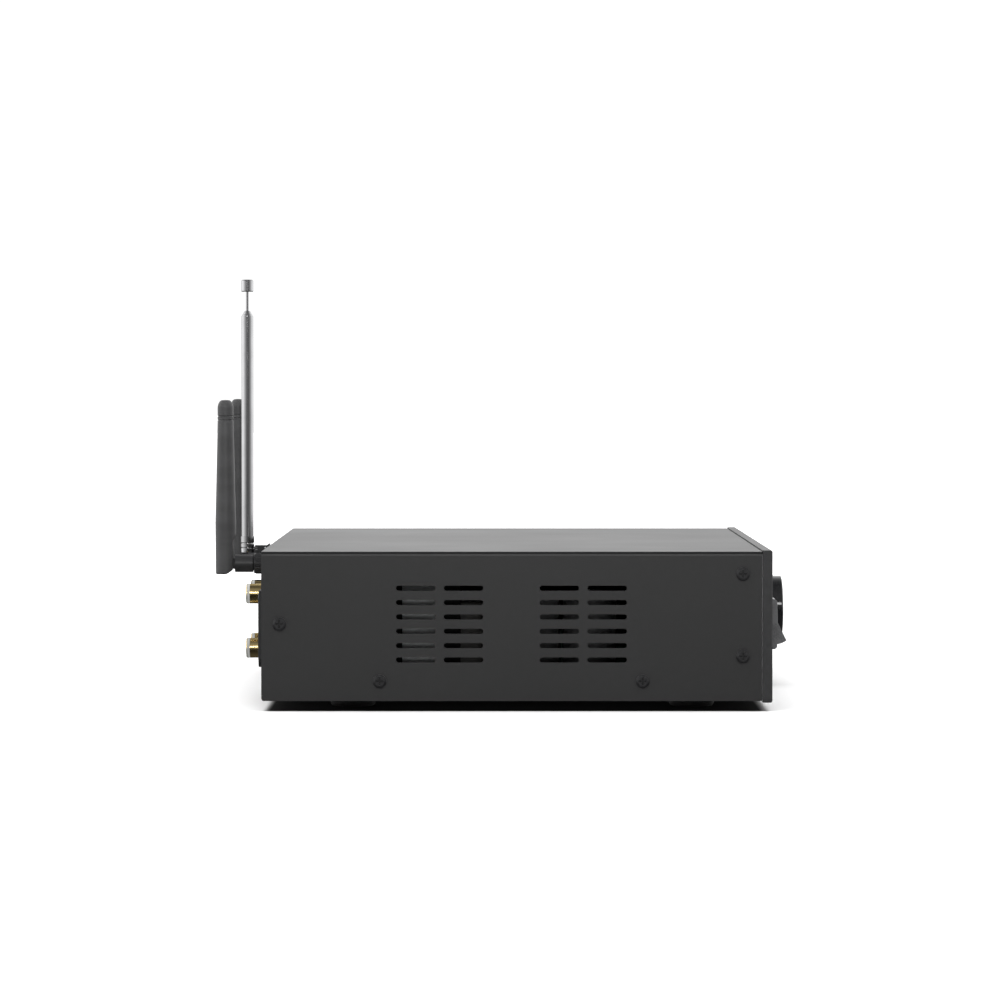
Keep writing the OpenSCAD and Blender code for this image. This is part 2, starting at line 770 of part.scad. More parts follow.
ribbon_x = 24;
ribbon_z = case_z + 18;

module board_standoffs() {
    color("#c9b060") {
        for (p = board_posts) translate([p[0], p[1], tray_top]) difference() {
            cylinder(d = 6, h = standoff_h);
            translate([0, 0, -1]) cylinder(d = screw_d, h = standoff_h + 2);
        }
        for (p = front_posts) translate([p[0], 0, p[1]]) difference() {
            rod_y(6, sub_back_y, board_front_y);
            rod_y(screw_d, sub_back_y - 1, board_front_y + 1);
        }
    }
}

module board_screws() {
    color("#c8c8c8") {
        for (p = board_posts) translate([p[0], p[1], board_top]) screw(board_t + standoff_h - 1);
        for (p = front_posts) translate([p[0], board_front_y + board_t, p[1]]) rotate([-90, 0, 0])
            screw(board_t + front_gap - 1);
        for (x = transformer_screw_xs) translate([x, transformer_y, tray_top + bracket_t]) screw(sheet_t + 1);
    }
}

transformer_x = -side_x + 48;
transformer_y = rear_y - 65.2;
core_w = 57;
core_d = 32;
core_h = 47.5;
bracket_t = 1;
transformer_screw_xs = [transformer_x - core_w / 2 - 6, transformer_x + core_w / 2 + 6];

// Laminated core with two windows either side of its middle leg.
module transformer_core() {
    leg = core_w / 6;
    color("#5d5a55") translate([transformer_x, transformer_y, tray_top]) difference() {
        box([-core_w / 2, -core_d / 2, 0], [core_w / 2, core_d / 2, core_h]);
        for (s = [-1, 1]) translate([s * leg * 1.5, 0, core_h / 2])
            cube([leg, core_d + 2, core_h - 2 * leg], center = true);
    }
}

// The winding round the middle leg, through both windows.
module transformer_coil() {
    leg = core_w / 6;
    coil_d = core_d + 24;
    color("#c8a35a") translate([transformer_x, transformer_y, tray_top + leg])
        linear_extrude(core_h - 2 * leg) difference() {
            round_rect(4 * leg, coil_d, 5);
            square([2 * leg, core_d], center = true);
        }
}

// A strap over the core, with a foot each side that is screwed to the tray.
module transformer_bracket() {
    w = 16;
    out = core_w / 2 + bracket_t;
    color("#b0b4b8") translate([transformer_x, transformer_y, tray_top]) difference() {
        union() {
            for (s = [-1, 1]) {
                translate([s * (core_w + bracket_t) / 2, 0, (core_h + bracket_t) / 2])
                    cube([bracket_t, w, core_h + bracket_t], center = true);
                translate([s * (out + 4.5), 0, bracket_t / 2]) cube([10, w, bracket_t], center = true);
            }
            translate([0, 0, core_h + bracket_t / 2]) cube([2 * out, w, bracket_t], center = true);
        }
        for (x = transformer_screw_xs) translate([x - transformer_x, 0, -1]) cylinder(d = screw_d, h = 4);
    }
}

module board(xs, ys, posts) {
    difference() {
        box([xs[0], ys[0], board_z], [xs[1], ys[1], board_top]);
        for (p = posts) translate([p[0], p[1], board_z - 1]) cylinder(d = screw_d, h = board_t + 2);
    }
}

// A part on a board, between two corners given from the board's top.
module on_board(a, b) box([a[0], a[1], board_top - eps], [b[0], b[1], board_top + b[2]]);

module power_board() {
    x = power_x[0];
    y = filter_mid_y;
    color("#1d5c34") {
        board(power_x, power_y, corners(power_x, power_y));
        on_board([x + 30, y - 20, 0], [x + 36, y + 0, 18]);
        on_board([x + 40, y - 16, 0], [x + 54, y - 8, 10]);
        on_board([x + 30, y + 8, 0], [x + 52, y + 13, 12]);
        on_board([x + 28, y + 20, 0], [x + 48, y + 28, 9]);
        translate([x + 43, y - 3, board_top - eps]) cylinder(d = 8, h = 12);
    }
}

// Can capacitors, with the rolled groove near the foot.
module filter_capacitors() {
    color("#2a3550") for (dy = filter_ys) translate([filter_x, filter_mid_y + dy, board_top]) rotate_extrude()
        difference() {
            square([filter_d / 2, filter_h]);
            translate([filter_d / 2 + 0.3, 4]) circle(1);
        }
}

module amplifier_board() {
    ring_d = 16;
    color("#1d5c34") {
        board(amp_x, amp_y, corners(amp_x, amp_y));
        for (i = [0:3]) translate([amp_x[0] + 22 + i * 22, amp_y[1] - 20, board_top - eps]) difference() {
            cylinder(d = ring_d, h = 8);
            translate([0, 0, -1]) cylinder(d = ring_d / 2.4, h = 10);
        }
        for (i = [0, 1], j = [0, 1])
            translate([amp_x[0] + 30 + i * 18, amp_y[0] + 32 + j * 20, board_top - eps])
                cylinder(d = 13, h = 21);
        on_board([ribbon_x - 13, amp_y[0] + 1, 0], [ribbon_x + 13, amp_y[0] + 8, 5]);
        on_board([amp_x[0] + 8, amp_y[0] + 10, 0], [amp_x[0] + 18, amp_y[0] + 40, 9]);
        on_board([amp_x[1] - 44, amp_y[0] + 40, 0], [amp_x[1] - 28, amp_y[0] + 56, 2]);
        on_board([amp_x[1] - 34, amp_y[1] - 10, 0], [amp_x[1] - 8, amp_y[1] - 2, 9]);
    }
}

chip_ys = amp_y[0] * [1, 1] + [28, 72];
sink_y = [amp_y[0] + 6, amp_y[1] - 6];
sink_h = 42;

// Extruded heat sink: a back plate with upright fins towards the vents.
module heat_sink() {
    fins = 12;
    fin_t = 1.6;
    fin_pitch = (sink_y[1] - sink_y[0] - fin_t) / (fins - 1);
    color("#2c2c2c") {
        box([sink_x, sink_y[0], tray_top], [sink_x + 5, sink_y[1], tray_top + sink_h]);
        for (i = [0:fins - 1]) translate([0, sink_y[0] + i * fin_pitch, 0])
            box([sink_x + 5 - eps, 0, tray_top], [sink_x + 27, fin_t, tray_top + sink_h]);
    }
}

module amplifier_chips() {
    color("#202020") for (y = chip_ys) {
        box([sink_x - 4.5, y - 10, board_top + 6], [sink_x, y + 10, board_top + 22]);
        for (k = [-4:4]) translate([sink_x - 3, y + k * 2 - 0.4, board_top]) cube([0.6, 0.8, 6 + eps]);
    }
}

module radio_board() {
    y = radio_y[0];
    color("#1d5c34") {
        board(radio_x, radio_y, corners(radio_x, radio_y));
        on_board([-12, y + 6, 0], [12, y + 22, 3]);
        on_board([16, y + 8, 0], [30, y + 20, 3]);
        for (x = [-20, 0, 20]) translate([x, radio_y[1] - 6, board_top - eps]) cylinder(d = 4, h = 3);
        on_board([-31, y + 8, 0], [-19, y + 14, 8]);
    }
}

// A coaxial lead from each aerial socket to the radio board.
module aerial_leads() {
    y1 = radio_y[1] - 6;
    foot = board_top + 3;
    color("#151515") for (p = [[-bt_x, bt_z, -20], [fm_x, fm_z, 0], [bt_x, bt_z, 20]])
        wire([
            [p[0], panel_in_y - 4, p[1]],
            [p[0], panel_in_y - 5.5, p[1]],
            [p[0], panel_in_y - 7, p[1]],
            [(p[0] + p[2]) / 2, y1 - 4, p[1] - 16],
            [p[2], y1, foot + 10],
            [p[2], y1, foot + 5],
            [p[2], y1, foot]
        ], 0.9, [1, 0, 0], 5);
}

// Mains wires along the left side, from the inlet to the switch.
module mains_wires() {
    x = -side_x + 6.6;
    color("#6b2a20") for (k = [0, 1]) {
        z = case_z + 6 + 3 * k;
        blade_z = inlet_z + (k == 0 ? 7 : -7);
        wire([
            [inlet_x - 2, panel_in_y - 26, blade_z],
            [inlet_x - 2, panel_in_y - 27.5, blade_z],
            [inlet_x - 2, panel_in_y - 29, blade_z],
            [inlet_x - 4, panel_in_y - 32, blade_z - 2],
            [x + 5, panel_in_y - 38, z + 6],
            [x, panel_in_y - 43, z + 3],
            [x, 30, z],
            [x, -30, z],
            [x, front_y + 46, z],
            [x + 3, front_y + 34, z + 6],
            [switch_x, front_y + 26, switch_z - 6 + 6 * k],
            [switch_x, front_y + 24, switch_z - 6 + 6 * k],
            [switch_x, front_y + 22, switch_z - 6 + 6 * k]
        ], 1, [1, 0, 0], 5);
    }
}

// The flat ribbon: level from the front board, then a bend, then down to the amplifier board.
module front_ribbon() {
    t = 0.8;
    r = 8;
    start = board_front_y + board_t + 6;
    drop_y = amp_y[0] + 4.5;
    foot = board_top + 5;
    top_z = ribbon_z;
    rise = 14;
    color("#b8b8b8") along_x(ribbon_x - 11, 22) {
        translate([start, top_z - t / 2]) square([6, t]);
        translate([start + 6, top_z + r]) difference() {
            intersection() {
                circle(r + t / 2);
                translate([0, -r - t]) square([r + t, r + t]);
            }
            circle(r - t / 2);
        }
        translate([start + 6 + r - t / 2, top_z + r - eps]) square([t, rise]);
        translate([(start + 6 + r + drop_y) / 2, top_z + r + rise - eps]) difference() {
            intersection() {
                circle((drop_y - start - 6 - r + t) / 2);
                translate([-20, 0]) square([40, 20]);
            }
            circle((drop_y - start - 6 - r - t) / 2);
        }
        translate([drop_y - t / 2, foot]) square([t, top_z + r + rise - foot]);
    }
}

// ---- Back ----

module mains_inlet() {
    body = [inlet_w - 4.2, inlet_h - 4.2];
    depth = 20;
    cavity = [16, 24];
    cavity_depth = 15.5;
    corner = 4.5;
    face_y = rear_y + inlet_out;
    color("#1a1a1a") difference() {
        union() {
            along_y(panel_y, face_y - panel_y) translate([inlet_x, inlet_z]) cut_rect(inlet_w, inlet_h, 3);
            along_y(panel_in_y - depth, depth + sheet_t + eps) translate([inlet_x, inlet_z])
                square(body, center = true);
        }
        along_y(face_y - cavity_depth, cavity_depth + 1) translate([inlet_x, inlet_z]) polygon([
            [-cavity[0] / 2, -cavity[1] / 2], [cavity[0] / 2 - corner, -cavity[1] / 2],
            [cavity[0] / 2, -cavity[1] / 2 + corner], [cavity[0] / 2, cavity[1] / 2 - corner],
            [cavity[0] / 2 - corner, cavity[1] / 2], [-cavity[0] / 2, cavity[1] / 2]
        ]);
        inlet_blades(panel_in_y - depth - 1, face_y - 3);
    }
}

// Three flat blades, the earth blade offset from the line of the other two.
module inlet_blades(y0, y1) {
    for (p = [[-2, 7], [2, 0], [-2, -7]])
        translate([inlet_x + p[0], 0, inlet_z + p[1]]) box([-2, y0, -1], [2, y1, 1]);
}

module inlet_pins() {
    color("#b9b9b9") inlet_blades(panel_in_y - 26, rear_y + inlet_out - 3);
}

rca_block_d = 12;
rca_tail_d = rca_d - 0.4;

module rca_block() {
    margin = 7;
    color("#1a1a1a") difference() {
        box(
            [rca_xs[0] - margin, panel_in_y - rca_block_d, rca_zs[1] - margin],
            [rca_xs[1] + margin, panel_in_y, rca_zs[0] + margin]
        );
        for (x = rca_xs, z = rca_zs) translate([x, 0, z]) rod_y(rca_tail_d, panel_in_y - 9, panel_in_y + 1);
        for (x = rca_xs) translate([x, 0, rca_mid_z]) rod_y(screw_d, panel_in_y - 7, panel_in_y + 1);
    }
}

module rca_shells() {
    rim = 0.4;
    tip = rear_y + rca_out;
    color("#d8b25a") for (x = rca_xs, z = rca_zs) translate([x, 0, z]) difference() {
        union() {
            rod_y(rca_tail_d, panel_in_y - 9, panel_y + eps);
            rod_y(rca_d, panel_y, tip - rim);
            translate([0, tip - rim - eps, 0]) rotate([-90, 0, 0])
                cylinder(d1 = rca_d, d2 = rca_d - 2 * rim, h = rim + eps);
        }
        rod_y(rca_d - 1.8, panel_in_y - 10, tip + 1);
    }
}

module rca_insulators() {
    color("#e8e8e4") for (x = rca_xs, z = rca_zs) translate([x, 0, z]) difference() {
        rod_y(rca_d - 1.8, panel_in_y - 9, rear_y + rca_out - 0.8);
        rod_y(3.3, panel_in_y - 2, rear_y + rca_out);
    }
}

module speaker_terminal() {
    depth = 14;
    rib_out = 4.2;
    color("#1a1a1a") difference() {
        union() {
            along_y(panel_y, spk_face_y - panel_y) translate([spk_x, spk_z]) round_rect(spk_w, spk_h, 1.5);
            along_y(panel_in_y - depth, depth + sheet_t + eps) translate([spk_x, spk_z])
                square(spk_body, center = true);
            for (i = [-2:2]) translate([spk_x + i * spk_pitch - rib_t / 2, 0, 0])
                box([0, spk_face_y - eps, spk_z - spk_h / 2 + 2], [rib_t, spk_face_y + rib_out, spk_z + 3]);
        }
        for (x = lever_xs) {
            translate([x, lever_pin_y, lever_pin_z]) rod_x(2 + 2 * run_fit, spk_pitch - rib_t + 1.2);
            translate([x, 0, spk_z - 8]) rod_y(wire_hole_d, panel_in_y - depth - 1, spk_face_y + 1);
        }
        for (x = spk_screw_xs) translate([x, 0, spk_z]) rod_y(screw_d, panel_in_y - 7, spk_face_y + 1);
    }
}

// A sprung lever: a leaning tab on a boss with a pin at each end.
module lever(i, shade) {
    w = spk_pitch - rib_t - 2 * gap;
    tab_t = 2;
    tab_h = 11;
    color(shade) translate([lever_xs[i], lever_pin_y, lever_pin_z]) rotate([-lever_lean, 0, 0]) {
        rod_x(3, w);
        rod_x(2, w + 2 * gap + 0.8);
        translate([-w / 2, -tab_t / 2, 0]) cube([w, tab_t, tab_h]);
        translate([-w / 2, tab_t / 2 - eps, tab_h - 2.4]) cube([w, 0.6, 2.4]);
    }
}

module lever_right_minus() lever(0, "#161616");
module lever_right_plus() lever(1, "#b02020");
module lever_left_minus() lever(2, "#161616");
module lever_left_plus() lever(3, "#b02020");

module aerial_nuts() {
    axle_d = bt_base_d - 2.5;
    color("#1f1f1f") for (s = [-1, 1]) translate([s * bt_x, 0, bt_z]) difference() {
        union() {
            rod_y(bt_nut_d, panel_y, rear_y + bt_nut_len);
            rod_y(6.4, panel_in_y - 4, panel_y + eps);
        }
        rod_y(axle_d + 2 * run_fit, rear_y + 2, rear_y + bt_nut_len + 1);
    }
}

// The part of an aerial that swivels in its nut: a round body and a tongue with the fold pin.
module bt_base(s) {
    axle_d = bt_base_d - 2.5;
    tongue_r = 2.3;
    start = rear_y + bt_nut_len;
    color("#242424") translate([s * bt_x, 0, bt_z]) {
        rod_y(axle_d, rear_y + 2 + gap, start + 1);
        rod_y(bt_base_d, start + gap, bt_end_y);
        translate([0, bt_pivot_y, 0]) {
            rod_x(2 * tongue_r, bt_tongue_t);
            rod_x(2, 6.4);
        }
        box([-bt_tongue_t / 2, bt_end_y - 1, -tongue_r], [bt_tongue_t / 2, bt_pivot_y, tongue_r]);
    }
}

// The folding body: a tapered rod with a belly low down, two grooves near its tip and a slotted foot.
module bt_aerial(s) {
    slot_r = 2.6;
    slot_x = bt_tongue_t / 2 + gap;
    flat_y = bt_pivot_y - 4;
    relief_h = 17;
    dome = bt_tip_r;
    crown_r = bt_tip_r - 1.1;
    groove_at = bt_len - 7;
    color("#2a2a2a") difference() {
        translate([s * bt_x, bt_axis_y, bt_z - bt_foot]) rotate_extrude() difference() {
            polygon(concat(
                [[0, 0], [bt_r - 0.5, 0], [bt_r - 0.15, 0.4], [bt_r, 22], [bt_r - 0.4, bt_len / 2],
                 [bt_tip_r, groove_at - 2]],
                [for (a = [0:15:75]) [1.1 + crown_r * cos(a), bt_len - dome + dome * sin(a)]],
                [[0, bt_len]]
            ));
            for (k = [0, 1.6]) translate([bt_tip_r + 0.1, groove_at - k]) circle(0.35, $fn = 24);
        }
        translate([s * bt_x, 0, bt_z]) {
            // the slot that the tongue folds in, open below and towards the case
            box([-slot_x, bt_pivot_y - 9, -9], [slot_x, bt_pivot_y, slot_r]);
            box([-slot_x, bt_pivot_y - 9, -9], [slot_x, bt_pivot_y + slot_r, 0]);
            translate([0, bt_pivot_y, 0]) rod_x(2 * slot_r, 2 * slot_x);
            translate([0, bt_pivot_y, 0]) rod_x(2 + 2 * run_fit, 6.8);
            // the relief that lets the body stand upright beside the base
            box([-9, flat_y - 9, -9], [9, flat_y, relief_h - bt_foot - 4]);
            translate([0, flat_y - 6, relief_h - bt_foot - 4]) rod_x(12, 18);
        }
        // the rounded inner corner that clears the base as the body folds
        along_x(s * bt_x - 9, 18) translate([bt_pivot_y, bt_z]) difference() {
            translate([-9, -9]) square(9);
            circle(4.65);
        }
    }
}

module bt_left_base() bt_base(-1);
module bt_right_base() bt_base(1);
module bt_left_aerial() bt_aerial(-1);
module bt_right_aerial() bt_aerial(1);

// ---- FM aerial ----

fm_neck_d = 8;
fm_axle_d = 4;

module fm_bushing() {
    color("#1f1f1f") translate([fm_x, 0, fm_z]) difference() {
        union() {
            rod_y(10, panel_y, rear_y + 1.2);
            rod_y(6, panel_in_y - 4, panel_y + eps);
        }
        rod_y(fm_axle_d + 2 * run_fit, panel_in_y - 2, rear_y + 2);
    }
}

// The swivelling base: a neck, a fork with the fold pin, and a leaf that steadies the upright aerial.
module fm_base() {
    ear_t = 1.4;
    ear_r = 2.7;
    leaf_w = 5;
    leaf_t = 0.7;
    leaf_out = 0.7;
    ear_in = fm_lug_t / 2 + 0.25;
    neck_end = fm_y - 4;
    color("#3c3c3c") translate([fm_x, 0, fm_z]) {
        rod_y(fm_axle_d, panel_in_y - 2 + gap, rear_y + 2);
        rod_y(fm_neck_d, rear_y + 1.2 + gap, neck_end);
        for (s = [-1, 1]) translate([s * (ear_in + ear_t / 2), 0, 0]) {
            translate([0, fm_y, 0]) rod_x(2 * ear_r, ear_t);
            box([-ear_t / 2, neck_end - 1, -ear_r], [ear_t / 2, fm_y, ear_r]);
        }
        translate([0, fm_y, 0]) rod_x(2, 2 * (ear_in + ear_t));
        along_x(-leaf_w / 2, leaf_w) {
            translate([neck_end - 3, 3]) square([2.6, 2.6 + leaf_t]);
            translate([neck_end - 3, 3.6]) square([3 + leaf_out, leaf_t]);
            polygon([
                [neck_end + leaf_out, 5.6], [neck_end - 4.6, 5.6], [neck_end - 6, 6.6],
                [neck_end - 5.6, 7.2], [neck_end - 4.3, 5.6 + leaf_t], [neck_end + leaf_out, 5.6 + leaf_t]
            ]);
        }
    }
}

// A tube standing along the aerial's axis between two heights; its mouth can close in to a smaller bore.
module fm_pipe(d, z0, z1, mouth_r) {
    lip = 0.3;
    r = d / 2 - fm_wall;
    translate([fm_x, fm_y, 0]) rotate_extrude() polygon([
        [r, z0], [d / 2, z0], [d / 2, z1 - lip], [max(d / 2 - lip * 0.6, mouth_r + 0.05), z1],
        [mouth_r, z1], [mouth_r, z1 - 0.6], [r, z1 - 0.6 - r + mouth_r]
    ]);
}

// The outer tube with its ringed collar and the flat lug that folds in the fork.
module fm_tube() {
    collar_d = 5.8;
    collar_z = fm_z + 3.2;
    lug_r = 2.6;
    color("#d5d8da") {
        fm_pipe(fm_d, fm_tube_z, fm_tube_top, fm_d / 2 - fm_wall);
        translate([fm_x, fm_y, 0]) rotate_extrude() difference() {
            translate([0, collar_z]) square([collar_d / 2, fm_tube_z - collar_z + 0.4]);
            for (z = [2, 4]) translate([collar_d / 2 + 0.1, collar_z + z]) circle(0.4, $fn = 24);
        }
        difference() {
            union() {
                translate([fm_x, fm_y, fm_z]) rod_x(2 * lug_r, fm_lug_t);
                translate([fm_x, fm_y, fm_z])
                    box([-fm_lug_t / 2, -lug_r, 0], [fm_lug_t / 2, lug_r, collar_z - fm_z + 0.2]);
            }
            translate([fm_x, fm_y, fm_z]) rod_x(2 + 2 * run_fit, fm_lug_t + 2);
        }
    }
}

// Inner section i, counted from the outer tube.
module fm_section(i) {
    lift = 1 + 0.6 * i;
    mouth_r = i < 3 ? fm_ds[i] / 2 - fm_wall : rod_d / 2 + run_fit;
    color("#d5d8da") fm_pipe(fm_ds[i], fm_tube_z + lift, fm_tube_top + i * fm_step, mouth_r);
}

module fm_section_2() fm_section(1);
module fm_section_3() fm_section(2);
module fm_section_4() fm_section(3);

// The tip rod, with the guide inside the last section and the cap on its end.
module fm_tip_rod() {
    guide_d = fm_ds[3] - 2 * fm_wall - 2 * run_fit;
    z0 = fm_tube_z + 3.6;
    rod_top = fm_tube_top + 4 * fm_step + rod_show;
    color("#d5d8da") translate([fm_x, fm_y, 0]) {
        translate([0, 0, z0]) cylinder(d = rod_d, h = rod_top - z0 + 0.5);
        translate([0, 0, z0]) cylinder(d = guide_d, h = 6);
        translate([0, 0, rod_top]) cylinder(d1 = cap_d - 0.6, d2 = cap_d, h = 0.3);
        translate([0, 0, rod_top + 0.3]) cylinder(d = cap_d, h = cap_h - 0.8);
        translate([0, 0, rod_top + cap_h - 0.5]) cylinder(d1 = cap_d, d2 = cap_d - 1, h = 0.5);
    }
}

chassis_tray();
top_cover();
rear_panel();
front_sub_panel();
front_plate();
display_window();
display_module();
front_board();
board_standoffs();
rocker_housing();
volume_encoder();
tone_controls();
usb_socket();
transformer_core();
transformer_coil();
transformer_bracket();
power_board();
filter_capacitors();
amplifier_board();
heat_sink();
amplifier_chips();
radio_board();
rca_block();
rca_shells();
rca_insulators();
speaker_terminal();
mains_inlet();
inlet_pins();
aerial_nuts();
fm_bushing();
case_screws();
board_screws();
feet();
foot_screws();
aerial_leads();
mains_wires();
front_ribbon();
power_rocker();
volume_knob();
volume_shaft();
bass_knob();
treble_knob();
button_back();
button_source();
button_next();
lever_right_minus();
lever_right_plus();
lever_left_minus();
lever_left_plus();
bt_left_base();
bt_left_aerial();
bt_right_base();
bt_right_aerial();
fm_base();
fm_tube();
fm_section_2();
fm_section_3();
fm_section_4();
fm_tip_rod();
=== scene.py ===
"""Looks of a Bluetooth audio receiver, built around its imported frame."""
from __future__ import annotations
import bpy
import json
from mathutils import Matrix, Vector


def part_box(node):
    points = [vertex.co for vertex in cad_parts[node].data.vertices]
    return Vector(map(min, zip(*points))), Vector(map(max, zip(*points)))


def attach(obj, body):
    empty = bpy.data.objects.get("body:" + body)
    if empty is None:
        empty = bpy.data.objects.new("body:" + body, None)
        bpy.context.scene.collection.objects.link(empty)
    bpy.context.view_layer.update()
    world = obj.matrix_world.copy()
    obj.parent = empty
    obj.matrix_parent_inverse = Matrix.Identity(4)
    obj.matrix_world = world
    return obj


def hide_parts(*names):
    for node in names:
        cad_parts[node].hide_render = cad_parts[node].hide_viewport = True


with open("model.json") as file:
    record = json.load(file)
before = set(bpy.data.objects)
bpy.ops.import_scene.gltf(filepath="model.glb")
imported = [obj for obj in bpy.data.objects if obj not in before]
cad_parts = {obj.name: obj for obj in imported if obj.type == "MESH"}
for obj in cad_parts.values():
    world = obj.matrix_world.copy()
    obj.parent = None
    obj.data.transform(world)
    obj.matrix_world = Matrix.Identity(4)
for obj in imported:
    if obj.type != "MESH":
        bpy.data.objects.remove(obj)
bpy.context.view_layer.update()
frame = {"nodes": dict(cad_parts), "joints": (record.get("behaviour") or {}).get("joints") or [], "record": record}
# Read before any finish takes a slot's place.
SLOT_OF = {name: node.data.materials[0].name.split(".")[0] for name, node in frame["nodes"].items()}

import json
import logging
import math
from dataclasses import dataclass, field
from enum import Enum
from functools import lru_cache
from typing import Any, Callable, Iterable, Sequence

import bmesh
import bpy
from mathutils import Matrix, Vector

LOG = logging.getLogger("receiver")
MM = 0.001
SMOOTH_DEG = 35.0  # new pieces stay sharp past this angle
FOLD_DEG = 32.0  # edges of CAD nodes sharper than this are broken
FLAT_DEG = 0.05
SAME_PLACE_M = 2e-6
Point2 = tuple[float, float]
Triple = tuple[float, float, float]
Colour = Triple


# ---------------------------------------------------------------- shader maths


@dataclass(frozen=True)
class Signal:
    """A node's output that Python operators can work on."""

    tree: bpy.types.NodeTree
    socket: bpy.types.NodeSocket

    def _math(self, operation: str, *values: Signal | float) -> Signal:
        """Add a Math node.

        Args:
            operation: the Math node's operation.
            values: its inputs in order, signals or numbers.

        Returns:
            The node's result.
        """
        node = self.tree.nodes.new("ShaderNodeMath")
        node.operation = operation
        for slot, value in zip(node.inputs, values):
            if isinstance(value, Signal):
                self.tree.links.new(value.socket, slot)
            else:
                slot.default_value = value
        return Signal(self.tree, node.outputs[0])

    def __add__(self, other: Signal | float) -> Signal:
        """Sum."""
        return self._math("ADD", self, other)

    def __radd__(self, other: float) -> Signal:
        """Sum, the number first."""
        return self._math("ADD", other, self)

    def __sub__(self, other: Signal | float) -> Signal:
        """Difference."""
        return self._math("SUBTRACT", self, other)

    def __rsub__(self, other: float) -> Signal:
        """Difference, the number first."""
        return self._math("SUBTRACT", other, self)

    def __mul__(self, other: Signal | float) -> Signal:
        """Product."""
        return self._math("MULTIPLY", self, other)

    def __rmul__(self, other: float) -> Signal:
        """Product, the number first."""
        return self._math("MULTIPLY", other, self)

    def __truediv__(self, other: Signal | float) -> Signal:
        """Quotient."""
        return self._math("DIVIDE", self, other)

    def __rtruediv__(self, other: float) -> Signal:
        """Quotient, the number first."""
        return self._math("DIVIDE", other, self)

    def sine(self) -> Signal:
        """Sine of the signal in radians."""
        return self._math("SINE", self)

    def cosine(self) -> Signal:
        """Cosine of the signal in radians."""
        return self._math("COSINE", self)

    def floor(self) -> Signal:
        """The signal without its decimals."""
        return self._math("FLOOR", self)

    def size(self) -> Signal:
        """The signal without its sign."""
        return self._math("ABSOLUTE", self)

    def fraction(self) -> Signal:
        """Part after the decimal point."""
        return self._math("FRACT", self)

    def above(self, edge: float) -> Signal:
        """One where the signal is above the edge, else nought."""
        return self._math("GREATER_THAN", self, edge)

    def ramp(self, low: float, high: float) -> Signal:
        """Rise smoothly from nought at low to one at high.

        Args:
            low: where the rise starts.
            high: where the rise ends.

        Returns:
            The eased share.
        """
        node = self.tree.nodes.new("ShaderNodeMapRange")
        node.interpolation_type = "SMOOTHSTEP"
        self.tree.links.new(self.socket, node.inputs[0])
        node.inputs[1].default_value = low
        node.inputs[2].default_value = high
        return Signal(self.tree, node.outputs[0])


class Graph:
    """A node tree while its nodes are being laid out."""

    def __init__(self, tree: bpy.types.NodeTree) -> None:
        """Start with the tree emptied."""
        self.tree = tree
        tree.nodes.clear()

    def node(
        self,
        kind: str,
        settings: dict[str, Any] | None = None,
        sockets: dict[int | str, Any] | None = None,
        out: int | str = 0,
    ) -> Signal:
        """Add any node.

        Args:
            kind: the node's type.
            settings: its own properties, set before its sockets; "stops" fills a ramp.
            sockets: values or signals by the name or number of the input.
            out: the output that is wanted.

        Returns:
            That output.
        """
        made = self.tree.nodes.new(kind)
        for key, value in (settings or {}).items():
            if key == "stops":
                while len(made.color_ramp.elements) < len(value):
                    made.color_ramp.elements.new(1.0)
                for element, (place, shade) in zip(made.color_ramp.elements, value):
                    element.position, element.color = place, (*shade, 1.0)
            else:
                setattr(made, key, value)
        for key, value in (sockets or {}).items():
            if isinstance(value, Signal):
                self.tree.links.new(value.socket, made.inputs[key])
            else:
                made.inputs[key].default_value = value
        return Signal(self.tree, made.outputs[out])

    def close(self, kind: str, last: Signal) -> None:
        """Add the tree's output node and link the last signal to its first input."""
        self.tree.links.new(last.socket, self.tree.nodes.new(kind).inputs[0])


